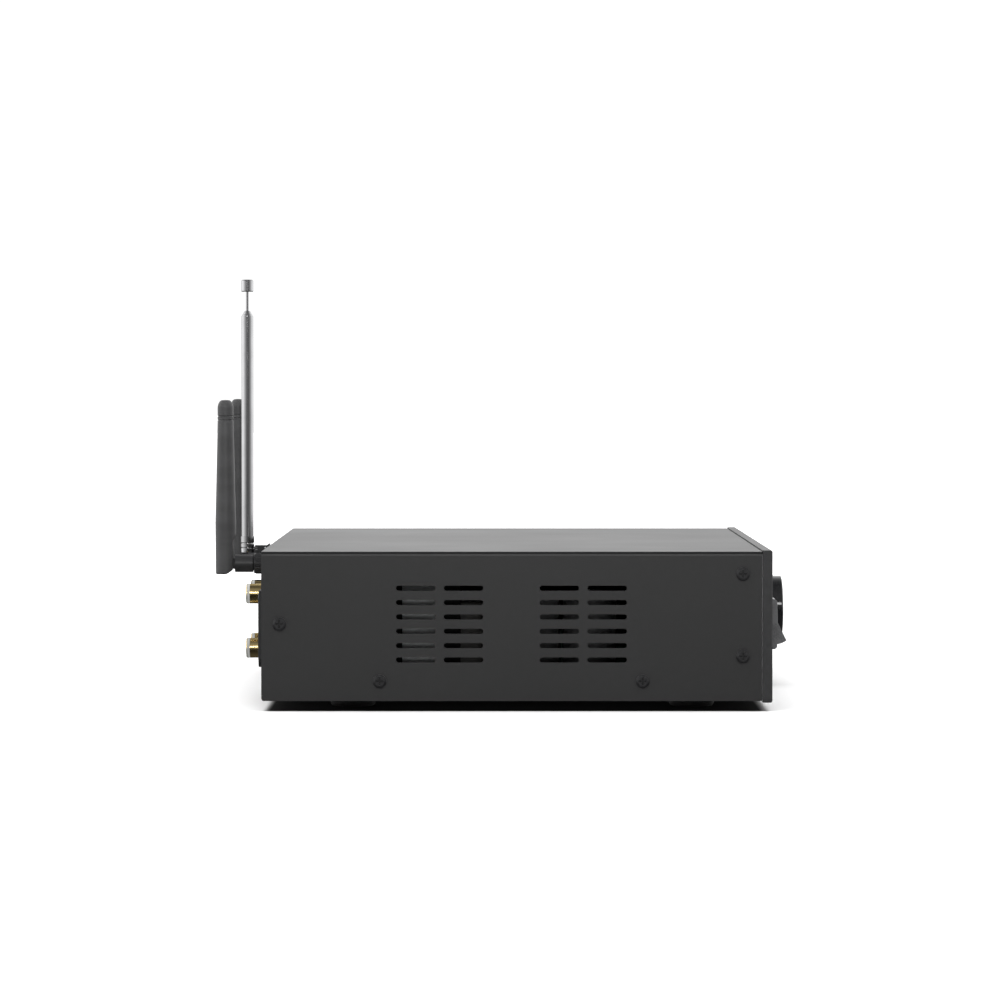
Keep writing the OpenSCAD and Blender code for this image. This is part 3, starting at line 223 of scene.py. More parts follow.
class Recipe(Graph):
    """One material while its nodes are being laid out."""

    def __init__(self, name: str) -> None:
        """Start an empty material of that name."""
        self.material = bpy.data.materials.new(name)
        self.material.use_nodes = True
        super().__init__(self.material.node_tree)

    def place(self, scale: Triple = (1.0, 1.0, 1.0), shift: Triple = (0.0, 0.0, 0.0)) -> Signal:
        """Object coordinates, moved by shift and then stretched by scale."""
        at = self.node("ShaderNodeTexCoord", out="Object")
        moved = self.node("ShaderNodeVectorMath", {"operation": "ADD"}, {0: at, 1: shift})
        return self.node("ShaderNodeVectorMath", {"operation": "MULTIPLY"}, {0: moved, 1: scale})

    def axis(self, at: Signal, which: str) -> Signal:
        """One coordinate of a vector signal."""
        return self.node("ShaderNodeSeparateXYZ", None, {0: at}, which)

    def noise(self, at: Signal, scale: float, detail: float = 2.0, roughness: float = 0.5) -> Signal:
        """Soft noise from nought to one."""
        values = {"Vector": at, "Scale": scale, "Detail": detail, "Roughness": roughness}
        return self.node("ShaderNodeTexNoise", None, values)

    def cells(self, at: Signal, scale: float, distance: str = "EUCLIDEAN", out: str = "Distance") -> Signal:
        """Cell noise: the distance to the nearest point, or the cell's colour."""
        return self.node("ShaderNodeTexVoronoi", {"distance": distance}, {"Vector": at, "Scale": scale}, out)

    def blend(self, share: Signal | float, first: Any, second: Any) -> Signal:
        """Mix two colours, signals or triples."""
        ends = [(*c, 1.0) if isinstance(c, tuple) else c for c in (first, second)]
        return self.node("ShaderNodeMix", {"data_type": "RGBA"}, {0: share, 6: ends[0], 7: ends[1]}, 2)

    def bump(self, height: Signal, depth_mm: float, strength: float) -> Signal:
        """Raise the surface by height times a depth in millimetres."""
        return self.node(
            "ShaderNodeBump", None, {"Height": height, "Distance": depth_mm * MM, "Strength": strength}
        )

    def surface(self, **sockets: Any) -> bpy.types.Material:
        """Close the material with one principled shader.

        Args:
            sockets: its inputs, with underscores for spaces; triples are colours.

        Returns:
            The finished material.
        """
        values = {
            key.replace("_", " "): (*value, 1.0) if isinstance(value, tuple) and len(value) == 3 else value
            for key, value in sockets.items()
        }
        self.close("ShaderNodeOutputMaterial", self.node("ShaderNodeBsdfPrincipled", None, values))
        return self.material


def tinted(colour: Colour, by: float) -> Colour:
    """The colour, each channel times by and kept under one."""
    return tuple(min(1.0, c * by) for c in colour)  # type: ignore[return-value]


@dataclass(frozen=True)
class Finish:
    """What every finish has: a name and a way to make its material."""

    name: str

    def lay(self, recipe: Recipe) -> bpy.types.Material:
        """Lay out the nodes in the recipe and return its material."""
        raise NotImplementedError

    def material(self) -> bpy.types.Material:
        """The one material of this finish."""
        return _material_of(self)


@lru_cache(maxsize=None)
def _material_of(finish: Finish) -> bpy.types.Material:
    """Make a finish's material once."""
    return finish.lay(Recipe(finish.name))


@dataclass(frozen=True)
class PowderCoat(Finish):
    """Matte sprayed coat: orange peel, fine grit and faint uneven gloss, with a shade painted dark along its outer
    bends where asked.
    """

    colour: Colour = (0.03, 0.03, 0.031)
    roughness: float = 0.5
    peel_per_m: float = 750.0
    grit_per_m: float = 3200.0
    specular: float = 0.4
    painted_shade_bends_m: tuple[float, float] | None = None

    def lay(self, recipe: Recipe) -> bpy.types.Material:
        """Lay out the coat."""
        at = recipe.place()
        peel = recipe.noise(at, self.peel_per_m, 2.0, 0.45)
        grit = recipe.noise(at, self.grit_per_m, 1.0)
        patch = recipe.noise(at, 14.0, 3.0, 0.55)
        shade = recipe.blend(
            (grit * 0.7 + patch * 0.3).ramp(0.25, 0.75), tinted(self.colour, 0.86), tinted(self.colour, 1.16)
        )
        relief = recipe.bump(peel + grit * 0.35, 0.02, 0.35)
        # Painted shade: along the cover's two outer bends the coat's colour drops to a dark line.
        if self.painted_shade_bends_m is not None:
            out = recipe.axis(at, "X").size().above(self.painted_shade_bends_m[0])
            up = recipe.axis(at, "Z").above(self.painted_shade_bends_m[1])
            shade = recipe.blend(out * up, shade, tinted(self.colour, 0.12))
        return recipe.surface(
            Base_Color=shade,
            Roughness=self.roughness + (patch - 0.5) * 0.10 + (grit - 0.5) * 0.08,
            Specular_IOR_Level=self.specular,
            Normal=relief,
        )


@dataclass(frozen=True)
class BrushedPlate(Finish):
    """Anodised metal brushed along X."""

    colour: Colour = (0.03, 0.03, 0.031)
    roughness: float = 0.42
    metallic: float = 0.0

    def lay(self, recipe: Recipe) -> bpy.types.Material:
        """Lay out the brushing."""
        lines = recipe.noise(recipe.place((12.0, 2600.0, 2600.0)), 1.0, 3.0, 0.6)
        long_lines = recipe.noise(recipe.place((3.0, 500.0, 500.0), (0.3, 0.1, 0.2)), 1.0, 2.0)
        patch = recipe.noise(recipe.place(), 10.0, 2.0)
        share = (lines * 0.6 + long_lines * 0.4).ramp(0.3, 0.72)
        return recipe.surface(
            Base_Color=recipe.blend(share, tinted(self.colour, 0.84), tinted(self.colour, 1.22)),
            Roughness=self.roughness + (lines - 0.5) * 0.16 + (patch - 0.5) * 0.06,
            Metallic=self.metallic,
            Specular_IOR_Level=0.45,
            Normal=recipe.bump(lines + long_lines * 0.5, 0.006, 0.35),
        )


@dataclass(frozen=True)
class Plating(Finish):
    """Plated or polished metal with hair-fine scratches and faint smudges."""

    colour: Colour = (0.75, 0.76, 0.77)
    roughness: float = 0.14
    grain: tuple[float, float, float] = (1200.0, 1200.0, 60.0)
    grain_depth_mm: float = 0.002
    grazing: Colour = (0.5, 0.5, 0.5)

    def lay(self, recipe: Recipe) -> bpy.types.Material:
        """Lay out the plating."""
        hair = recipe.noise(recipe.place(self.grain), 1.0, 3.0, 0.6)
        smudge = recipe.noise(recipe.place(), 90.0, 3.0, 0.6).ramp(0.35, 0.75)
        return recipe.surface(
            Base_Color=recipe.blend(smudge * 0.6 + hair * 0.4, self.colour, tinted(self.colour, 0.88)),
            Metallic=1.0,
            Specular_Tint=self.grazing,
            Roughness=self.roughness + smudge * 0.07 + (hair - 0.5) * 0.06,
            Normal=recipe.bump(hair, self.grain_depth_mm, 0.3),
        )


@dataclass(frozen=True)
class Moulding(Finish):
    """Moulded plastic: fine spark texture, slight flow marks, a little dust dulling."""

    colour: Colour = (0.02, 0.02, 0.021)
    roughness: float = 0.36
    texture_per_m: float = 2600.0
    texture_mm: float = 0.008
    coat: float = 0.0
    specular: float = 0.5

    def lay(self, recipe: Recipe) -> bpy.types.Material:
        """Lay out the plastic."""
        at = recipe.place()
        spark = recipe.noise(at, self.texture_per_m, 2.0, 0.6)
        flow = recipe.noise(recipe.place((40.0, 40.0, 160.0)), 1.0, 3.0)
        dust = recipe.noise(at, 260.0, 4.0, 0.7).ramp(0.55, 0.85)
        shade = recipe.blend(flow.ramp(0.3, 0.7), tinted(self.colour, 0.88), tinted(self.colour, 1.14))
        return recipe.surface(
            Base_Color=recipe.blend(dust * 0.12, shade, (0.14, 0.135, 0.13)),
            Roughness=self.roughness + (spark - 0.5) * 0.08 + dust * 0.08 + (flow - 0.5) * 0.05,
            Specular_IOR_Level=self.specular,
            Coat_Weight=self.coat,
            Coat_Roughness=0.06,
            Normal=recipe.bump(spark, self.texture_mm, 0.3),
        )


@dataclass(frozen=True)
class FootRubber(Finish):
    """Rubber with a fine pebble and a dusty bloom."""

    colour: Colour = (0.018, 0.018, 0.018)

    def lay(self, recipe: Recipe) -> bpy.types.Material:
        """Lay out the rubber."""
        at = recipe.place()
        pebble = recipe.cells(at, 1500.0)
        bloom = recipe.noise(at, 150.0, 4.0, 0.65).ramp(0.45, 0.8)
        return recipe.surface(
            Base_Color=recipe.blend(bloom * 0.35, self.colour, (0.07, 0.068, 0.065)),
            Roughness=0.72 + bloom * 0.14 - pebble * 0.08,
            Specular_IOR_Level=0.3,
            Normal=recipe.bump(pebble, 0.03, 0.4),
        )


@dataclass(frozen=True)
class ZincSheet(Finish):
    """Galvanised sheet with a faint spangle and rolling lines."""

    colour: Colour = (0.50, 0.51, 0.52)

    def lay(self, recipe: Recipe) -> bpy.types.Material:
        """Lay out the sheet."""
        flake = recipe.cells(recipe.place((1.0, 1.0, 1.6)), 170.0, out="Color")
        tone = recipe.axis(flake, "X")
        rolled = recipe.noise(recipe.place((900.0, 16.0, 900.0)), 1.0, 2.0)
        share = tone * 0.7 + rolled * 0.3
        return recipe.surface(
            Base_Color=recipe.blend(share, tinted(self.colour, 0.8), tinted(self.colour, 1.1)),
            Metallic=0.9,
            Roughness=0.34 + tone * 0.14 + (rolled - 0.5) * 0.08,
            Normal=recipe.bump(rolled, 0.004, 0.3),
        )


@dataclass(frozen=True)
class Laminations(Finish):
    """Stacked sheet edges of a transformer core, with varnish between them."""

    sheet_mm: float = 0.5

    def lay(self, recipe: Recipe) -> bpy.types.Material:
        """Lay out the stack along Y."""
        at = recipe.place()
        saw = (recipe.axis(at, "Y") / (self.sheet_mm * MM)).fraction()
        edge = saw.ramp(0.0, 0.2) * (1.0 - saw.ramp(0.8, 1.0))
        varnish = recipe.noise(at, 120.0, 4.0, 0.65)
        share = edge * varnish.ramp(0.2, 0.7)
        return recipe.surface(
            Base_Color=recipe.blend(share, (0.003, 0.003, 0.003), (0.010, 0.010, 0.010)),
            Metallic=edge * 0.1,
            Specular_IOR_Level=0.15,
            Roughness=0.75 - edge * 0.12 + varnish * 0.1,
            Normal=recipe.bump(edge, 0.05, 0.6),
        )


@dataclass(frozen=True)
class WindingTape(Finish):
    """Dark crepe tape wound round a coil, each turn a thin step."""

    colour: Colour = (0.060, 0.057, 0.052)
    turn_mm: float = 9.0

    def lay(self, recipe: Recipe) -> bpy.types.Material:
        """Lay out the tape."""
        at = recipe.place()
        saw = (recipe.axis(at, "Z") / (self.turn_mm * MM) + recipe.noise(at, 30.0) * 0.15).fraction()
        crease = recipe.noise(recipe.place((60.0, 60.0, 900.0)), 1.0, 3.0)
        return recipe.surface(
            # Painted shade: each turn is darker in a thin band at its lower edge, just above the step.
            Base_Color=recipe.blend(saw.ramp(0.0, 0.12), tinted(self.colour, 0.55), self.colour),
            Roughness=0.34 + crease * 0.2,
            Coat_Weight=0.2,
            Normal=recipe.bump(saw + crease * 0.4, 0.12, 0.5),
        )


@dataclass(frozen=True)
class CapacitorSleeve(Finish):
    """Shrunk sleeve with a pale stripe down one side."""

    colour: Colour = (0.085, 0.086, 0.088)
    centre_x_mm: float = -117.0

    def lay(self, recipe: Recipe) -> bpy.types.Material:
        """Lay out the sleeve."""
        at = recipe.place()
        side = (recipe.axis(at, "X") / MM - self.centre_x_mm).ramp(8.6, 9.2)
        shrink = recipe.noise(recipe.place((220.0, 220.0, 60.0)), 1.0, 3.0, 0.6)
        sleeve = recipe.blend(shrink, tinted(self.colour, 0.8), self.colour)
        return recipe.surface(
            Base_Color=recipe.blend(side * 0.9, sleeve, (0.42, 0.43, 0.45)),
            Roughness=0.26 + shrink * 0.14,
            Coat_Weight=0.25,
            Normal=recipe.bump(shrink, 0.06, 0.4),
        )


@dataclass(frozen=True)
class SolderMask(Finish):
    """Board laminate: mask colour, traces under it and tinned pads."""

    colour: Colour = (0.012, 0.085, 0.04)

    def lay(self, recipe: Recipe) -> bpy.types.Material:
        """Lay out mask, traces and pads."""
        at = recipe.place((1.0, 1.0, 0.0))
        edges = recipe.cells(at, 230.0, "CHEBYCHEV")
        traces = (1.0 - edges.ramp(0.40, 0.44)) * edges.ramp(0.30, 0.34)
        pads = 1.0 - recipe.cells(at, 330.0).ramp(0.10, 0.14)
        weave = recipe.noise(recipe.place((900.0, 900.0, 900.0)), 1.0)
        mask = recipe.blend(traces, self.colour, tinted(self.colour, 2.0))
        return recipe.surface(
            Base_Color=recipe.blend(pads, mask, (0.55, 0.54, 0.50)),
            Metallic=pads * 0.9,
            Roughness=0.3 + weave * 0.14,
            Normal=recipe.bump(traces * 0.5 + pads, 0.04, 0.5),
        )


@dataclass(frozen=True)
class SmokedPane(Finish):
    """Dark see-through plastic with a hard polish."""

    clearness: float = 0.42

    def lay(self, recipe: Recipe) -> bpy.types.Material:
        """Lay out the pane."""
        haze = recipe.noise(recipe.place(), 60.0, 4.0, 0.7).ramp(0.4, 0.9)
        return recipe.surface(
            Base_Color=recipe.blend(haze, (0.004, 0.005, 0.006), (0.012, 0.013, 0.015)),
            Roughness=0.06 + haze * 0.06,
            Alpha=1.0 - self.clearness,
            Specular_IOR_Level=0.5,
            Coat_Weight=0.3,
        )


@dataclass(frozen=True)
class DisplayGlass(Finish):
    """Dark display glass with the faint mesh of its unlit grid."""

    def lay(self, recipe: Recipe) -> bpy.types.Material:
        """Lay out the grid."""
        at = recipe.place()
        across = (recipe.axis(at, "X") / (0.8 * MM)).fraction().ramp(0.0, 0.25)
        along = (recipe.axis(at, "Z") / (0.8 * MM)).fraction().ramp(0.0, 0.25)
        mesh = 1.0 - across * along
        return recipe.surface(
            Base_Color=recipe.blend(mesh, (0.006, 0.010, 0.013), (0.028, 0.036, 0.042)),
            Roughness=0.16 + mesh * 0.12,
            Metallic=mesh * 0.4,
        )


@dataclass(frozen=True)
class CableSheath(Finish):
    """Extruded cable sheath with faint draw lines."""

    colour: Colour = (0.02, 0.02, 0.02)
    ribs_mm: float = 0.0

    def lay(self, recipe: Recipe) -> bpy.types.Material:
        """Lay out the sheath, ribbed across X where it is a ribbon."""
        at = recipe.place()
        draw = recipe.noise(at, 900.0, 3.0, 0.6)
        tone: Signal = draw
        if self.ribs_mm:
            # Where ribbed, the grooves between the ribs get a painted darker shade.
            saw = (recipe.axis(at, "X") / (self.ribs_mm * MM)).fraction()
            tone = saw.ramp(0.0, 0.3) * (1.0 - saw.ramp(0.7, 1.0))
        return recipe.surface(
            Base_Color=recipe.blend(tone, tinted(self.colour, 0.6), self.colour),
            Roughness=0.4 + draw * 0.15,
            Normal=recipe.bump(tone, 0.1 if self.ribs_mm else 0.01, 0.4),
        )


@dataclass(frozen=True)
class PrintedInk(Finish):
    """Screen-printed ink, very slightly broken and uneven."""

    colour: Colour = (0.72, 0.72, 0.70)

    def lay(self, recipe: Recipe) -> bpy.types.Material:
        """Lay out the ink."""
        at = recipe.place()
        screen = recipe.noise(at, 4200.0, 2.0)
        uneven = recipe.noise(at, 240.0, 3.0)
        share = (screen * 0.6 + uneven * 0.4).ramp(0.25, 0.6)
        return recipe.surface(
            Base_Color=recipe.blend(share, tinted(self.colour, 0.72), self.colour),
            Roughness=0.5 + uneven * 0.2,
            Normal=recipe.bump(screen, 0.004, 0.3),
        )


@dataclass(frozen=True)
class LitSegment(Finish):
    """A glowing display segment, dimmer towards its grain."""

    colour: Colour = (0.25, 0.75, 1.0)
    glow: float = 1.6

    def lay(self, recipe: Recipe) -> bpy.types.Material:
        """Lay out the glow."""
        grain = recipe.cells(recipe.place(), 2600.0)
        lit = recipe.blend(grain.ramp(0.1, 0.7), self.colour, tinted(self.colour, 0.6))
        return recipe.surface(
            Base_Color=tinted(self.colour, 0.2),
            Roughness=0.5,
            Emission_Color=lit,
            Emission_Strength=self.glow,
        )


@dataclass(frozen=True)
class StudioFloor(Finish):
    """Plain pale paper that glows towards its far edges, with a shadow painted dark on it just under the case."""

    glow_from_m: float = 0.30
    glow_to_m: float = 1.1
    painted_shadow_middle_m: Point2 = (0.0, -0.0045)
    painted_shadow_half_m: Point2 = (0.1400, 0.1040)
    painted_shadow_feather_m: float = 0.004

    def lay(self, recipe: Recipe) -> bpy.types.Material:
        """Lay out the paper."""
        fibre = recipe.noise(recipe.place(), 500.0, 3.0)
        flat = recipe.place((1.0, 1.0, 0.0))
        reach = recipe.node("ShaderNodeVectorMath", {"operation": "LENGTH"}, {0: flat}, "Value")
        glow = recipe.blend(reach.ramp(self.glow_from_m, self.glow_to_m), (0.0, 0.0, 0.0), (0.8, 0.8, 0.8))
        # Painted shadow: a feathered rectangle over the case's footprint, where the paper's colour turns almost
        # black.
        beyond_x, beyond_y = (
            (recipe.axis(flat, axis) - middle).size().ramp(half - self.painted_shadow_feather_m, half)
            for axis, middle, half in zip("XY", self.painted_shadow_middle_m, self.painted_shadow_half_m)
        )
        outside_painted_shadow = beyond_x + beyond_y - beyond_x * beyond_y
        paper = recipe.blend(fibre, (0.90, 0.90, 0.90), (0.93, 0.93, 0.93))
        return recipe.surface(
            # Inside the painted shadow the paper's colour is nearly black.
            Base_Color=recipe.blend(outside_painted_shadow, (0.006, 0.006, 0.006), paper),
            Roughness=0.9,
            Specular_IOR_Level=0.1,
            Emission_Color=glow,
            Emission_Strength=1.0,
        )


COAT = PowderCoat("black_powder_coat", (0.022, 0.022, 0.0225))
# The cover's coat carries a dark line of painted shade along its two outer bends.
COVER_COAT = PowderCoat(
    "cover_powder_coat", (0.010, 0.010, 0.0103), 0.42, specular=0.72, painted_shade_bends_m=(0.1392, 0.0646)
)
PLATE = BrushedPlate("black_anodised_plate", (0.020, 0.020, 0.021))
CHROME = Plating("aerial_chrome", (0.64, 0.64, 0.65), 0.10, (1500.0, 1500.0, 40.0))
GOLD = Plating("jack_gold", (0.95, 0.74, 0.36), 0.20, (900.0, 90.0, 900.0))
LIP = Moulding("jack_lip", (0.42, 0.42, 0.40), 0.25)
NICKEL = Plating("bright_nickel", (0.72, 0.72, 0.71), 0.22, (700.0, 700.0, 700.0))
GLOSS = Moulding("gloss_black", (0.012, 0.012, 0.013), 0.10, 900.0, 0.0004, 0.6)
SATIN = Moulding("satin_black", (0.018, 0.018, 0.019), 0.40)
SWITCH = Moulding("switch_black", (0.090, 0.090, 0.093), 0.28)
AERIAL = Moulding("aerial_black", (0.042, 0.042, 0.043), 0.42, 1800.0, 0.012)
INK = PrintedInk("white_ink")
RED_INK = PrintedInk("red_ink", (0.55, 0.02, 0.015))
LIT = LitSegment("lit_segment")
UNLIT = Moulding("unlit_segment", (0.035, 0.045, 0.05), 0.3)

SLOT_FINISHES: dict[str, Finish] = {
    "zinc_steel": ZincSheet("zinc_sheet"),
    "black_powder_steel": COAT,
    "black_plate": PLATE,
    "smoked_window": SmokedPane("smoked_pane"),
    "display_glass": DisplayGlass("display_glass"),
    "circuit_board": SolderMask("solder_mask"),
    "brass": Plating("brass_post", (0.80, 0.60, 0.28), 0.28, (700.0, 700.0, 700.0)),
    "black_plastic": SATIN,
    "plated_metal": NICKEL,
    "core_steel": Laminations("core_laminations"),
    "coil_tape": WindingTape("coil_tape"),
    "capacitor_sleeve": CapacitorSleeve("capacitor_sleeve"),
    "black_aluminium": BrushedPlate("sink_fins", (0.035, 0.035, 0.036), 0.38, 0.3),
    "gold_plate": GOLD,
    "white_plastic": Moulding("insulator_white", (0.62, 0.61, 0.58), 0.35),
    "black_metal": PowderCoat("blackened_metal", (0.013, 0.013, 0.014), 0.40, 900.0, 2600.0, 0.4),
    "foot_rubber": FootRubber("foot_rubber"),
    "cable_black": CableSheath("cable_black"),
    "cable_red": CableSheath("cable_red", (0.45, 0.02, 0.02)),
    "ribbon_grey": CableSheath("ribbon_grey", (0.45, 0.45, 0.46), 1.27),
    "gloss_black": GLOSS,
    "red_plastic": Moulding("lever_red", (0.45, 0.012, 0.012), 0.28),
    "aerial_plastic": AERIAL,
    "chrome": CHROME,
}


# ---------------------------------------------------------------- placing and mesh


class Face(Enum):
    """The outer sides of the case, each with its own across, up and outward directions."""

    FRONT = ((1, 0, 0), (0, 0, 1), (0, -1, 0))
    REAR = ((-1, 0, 0), (0, 0, 1), (0, 1, 0))
    TOP = ((1, 0, 0), (0, 1, 0), (0, 0, 1))
    BOTTOM = ((1, 0, 0), (0, -1, 0), (0, 0, -1))

    def at(self, x: float, y: float, z: float) -> Matrix:
        """A matrix that carries across, up and outward in millimetres to metres at a point.

        Args:
            x: place along X in millimetres.
            y: place along Y in millimetres.
            z: place along Z in millimetres.

        Returns:
            The matrix.
        """
        across, up, outward = (Vector(v) for v in self.value)
        turn = Matrix((across, up, outward)).transposed().to_4x4()
        return Matrix.Translation(Vector((x, y, z)) * MM) @ turn @ Matrix.Scale(MM, 4)


@dataclass(frozen=True)
class Room:
    """A node's box in millimetres."""

    low: Vector
    high: Vector

    @classmethod
    def of(cls, node: str) -> Room:
        """The box of a CAD node at rest."""
        low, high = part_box(node)
        return cls(low / MM, high / MM)

    @property
    def middle(self) -> Vector:
        """The middle of the box."""
        return (self.low + self.high) / 2

    @property
    def wide(self) -> float:
        """The box's size along X."""
        return self.high.x - self.low.x

    @property
    def tall(self) -> float:
        """The box's size along Z."""
        return self.high.z - self.low.z


class Shape:
    """A mesh under construction in millimetres: across, up and outward."""

    def __init__(self) -> None:
        """Start with nothing."""
        self.bm = bmesh.new()

    def _ring(self, loop: Sequence[Point2], height: float) -> list[bmesh.types.BMVert]:
        """The loop's points at one height."""
        return [self.bm.verts.new((u, v, height)) for u, v in loop]

    def _closed(self, bottom: list[bmesh.types.BMVert], top: list[bmesh.types.BMVert]) -> Shape:
        """Cap two loops and wall the gap between them."""
        self.bm.faces.new(bottom[::-1])
        self.bm.faces.new(top)
        for i in range(len(bottom)):
            j = (i + 1) % len(bottom)
            self.bm.faces.new((bottom[i], bottom[j], top[j], top[i]))
        return self

    def prism(self, loop: Sequence[Point2], low: float, high: float) -> Shape:
        """Add a closed prism from low to high; the outline is counter-clockwise seen from outside."""
        return self._closed(self._ring(loop, low), self._ring(loop, high))

    def strip(self, rows: Sequence[Point2], half_wide: float, under: float, over: float) -> Shape:
        """Add closed blocks along rows of (v, height), from under each height to over it."""
        for (v0, h0), (v1, h1) in zip(rows, rows[1:]):
            corners = ((-half_wide, v0, h0), (half_wide, v0, h0), (half_wide, v1, h1), (-half_wide, v1, h1))
            low = [self.bm.verts.new((u, v, h - under)) for u, v, h in corners]
            self._closed(low, [self.bm.verts.new((u, v, h + over)) for u, v, h in corners])
        return self

    def bar(self, u: float, v: float, width: float, height: float, low: float, high: float) -> Shape:
        """Add a closed block centred on u, v."""
        w, h = width / 2, height / 2
        return self.prism([(u - w, v - h), (u + w, v - h), (u + w, v + h), (u - w, v + h)], low, high)

    def sign(self, u: float, v: float, line: Point2, arm: Point2, rise: Point2, plus: bool) -> Shape:
        """Add a minus centred on u, v, or a plus.

        Args:
            u: place across.
            v: place up.
            line: the minus's length and thickness.
            arm: how far out the middle of a plus's arm stands, and how long the arm is.
            rise: lower and upper height.
            plus: whether it has arms.

        Returns:
            This shape.
        """
        self.bar(u, v, *line, *rise)
        for side in (1, -1) if plus else ():
            self.bar(u, v + side * arm[0], line[1], arm[1], *rise)
        return self

    def band(self, outer: Sequence[Point2], inner: Sequence[Point2], low: float, high: float) -> Shape:
        """Add a closed frame between two outlines of the same count of points."""
        edges = ((outer, low), (outer, high), (inner, high), (inner, low))
        rings = [self._ring(loop, height) for loop, height in edges]
        count = len(outer)
        for a in range(4):
            b = (a + 1) % 4
            for i in range(count):
                j = (i + 1) % count
                self.bm.faces.new((rings[a][i], rings[a][j], rings[b][j], rings[b][i]))
        return self

    def turned(self, profile: Sequence[Point2], steps: int = 96, centre: Point2 = (0.0, 0.0)) -> Shape:
        """Add a closed body of revolution round the outward axis.

        Args:
            profile: closed outline of radius and height pairs, or an open one from axis to axis.
            steps: how many sides it has.
            centre: where its axis stands.

        Returns:
            This shape.
        """
        rings: list[list[bmesh.types.BMVert]] = []
        for radius, height in profile:
            if radius < 1e-6:
                rings.append([self.bm.verts.new((*centre, height))])
            else:
                rings.append(self._ring(circle(*centre, radius, steps), height))
        closed = len(rings[0]) > 1
        for a in range(len(rings) if closed else len(rings) - 1):
            first, second = rings[a], rings[(a + 1) % len(rings)]
            for i in range(steps):
                j = (i + 1) % steps
                order = ((first, i), (first, j), (second, j), (second, i))
                self.bm.faces.new(list(dict.fromkeys(ring[k % len(ring)] for ring, k in order)))
        return self

    def mesh(self, name: str, where: Matrix) -> bpy.types.Mesh:
        """Close the mesh at its place, which carries its millimetres to metres."""
        self.bm.transform(where)
        bmesh.ops.recalc_face_normals(self.bm, faces=self.bm.faces)
        made = bpy.data.meshes.new(name)
        self.bm.to_mesh(made)
        self.bm.free()
        shade(made, SMOOTH_DEG)
        return made

    def put(
        self,
        name: str,
        where: Matrix,
        body: str = "chassis",
        finish: Finish = INK,
        slot: str = "white_plastic",
    ) -> None:
        """Make it a finished piece, printed in white ink on the chassis unless told otherwise."""
        piece(name, self.mesh(name, where), body, finish)


def circle(u: float, v: float, radius: float, steps: int = 32, start: float = 0.0) -> list[Point2]:
    """Points of a circle, counter-clockwise."""
    turns = (start + 2 * math.pi * i / steps for i in range(steps))
    return [(u + radius * math.cos(a), v + radius * math.sin(a)) for a in turns]


def rounded(width: float, height: float, radius: float, u: float = 0.0, v: float = 0.0) -> list[Point2]:
    """Points of a rectangle with round corners, counter-clockwise."""
    steps = 6
    w, h = width / 2 - radius, height / 2 - radius
    points: list[Point2] = []
    for k, (cu, cv) in enumerate(((w, h), (-w, h), (-w, -h), (w, -h))):
        for i in range(steps + 1):
            a = math.pi / 2 * (k + i / steps)
            points.append((u + cu + radius * math.cos(a), v + cv + radius * math.sin(a)))
    return points


def shade(mesh: bpy.types.Mesh, smooth_deg: float) -> None:
    """Smooth every face and keep the edges sharper than the angle."""
    mesh.shade_smooth()
    mesh.set_sharp_from_angle(angle=math.radians(smooth_deg))


def linked(name: str, data: bpy.types.ID) -> bpy.types.Object:
    """Put a new object with that data into the scene."""
    made = bpy.data.objects.new(name, data)
    bpy.context.scene.collection.objects.link(made)
    return made


def piece(name: str, mesh: bpy.types.Mesh, body: str, finish: Finish) -> bpy.types.Object:
    """Make a finished piece that rides on a body.

    Args:
        name: the piece's name.
        mesh: its mesh, already in place.
        body: the CAD body that it moves with.
        finish: what it is made of.

    Returns:
        The piece.
    """
    made = linked(name, mesh)
    made.data.materials.clear()
    made.data.materials.append(finish.material())
    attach(made, body)
    return made


def body_of(node: str) -> str:
    """The CAD body that a node belongs to."""
    return next(b for b, nodes in frame["record"]["behaviour"]["bodies"].items() if node in nodes)


def taken(owner: bpy.types.Object) -> bpy.types.Mesh:
    """The mesh that an object's modifiers make; the modifiers are then removed."""
    graph = bpy.context.evaluated_depsgraph_get()
    made = bpy.data.meshes.new_from_object(
        owner.evaluated_get(graph), preserve_all_data_layers=True, depsgraph=graph
    )
    owner.modifiers.clear()
    return made


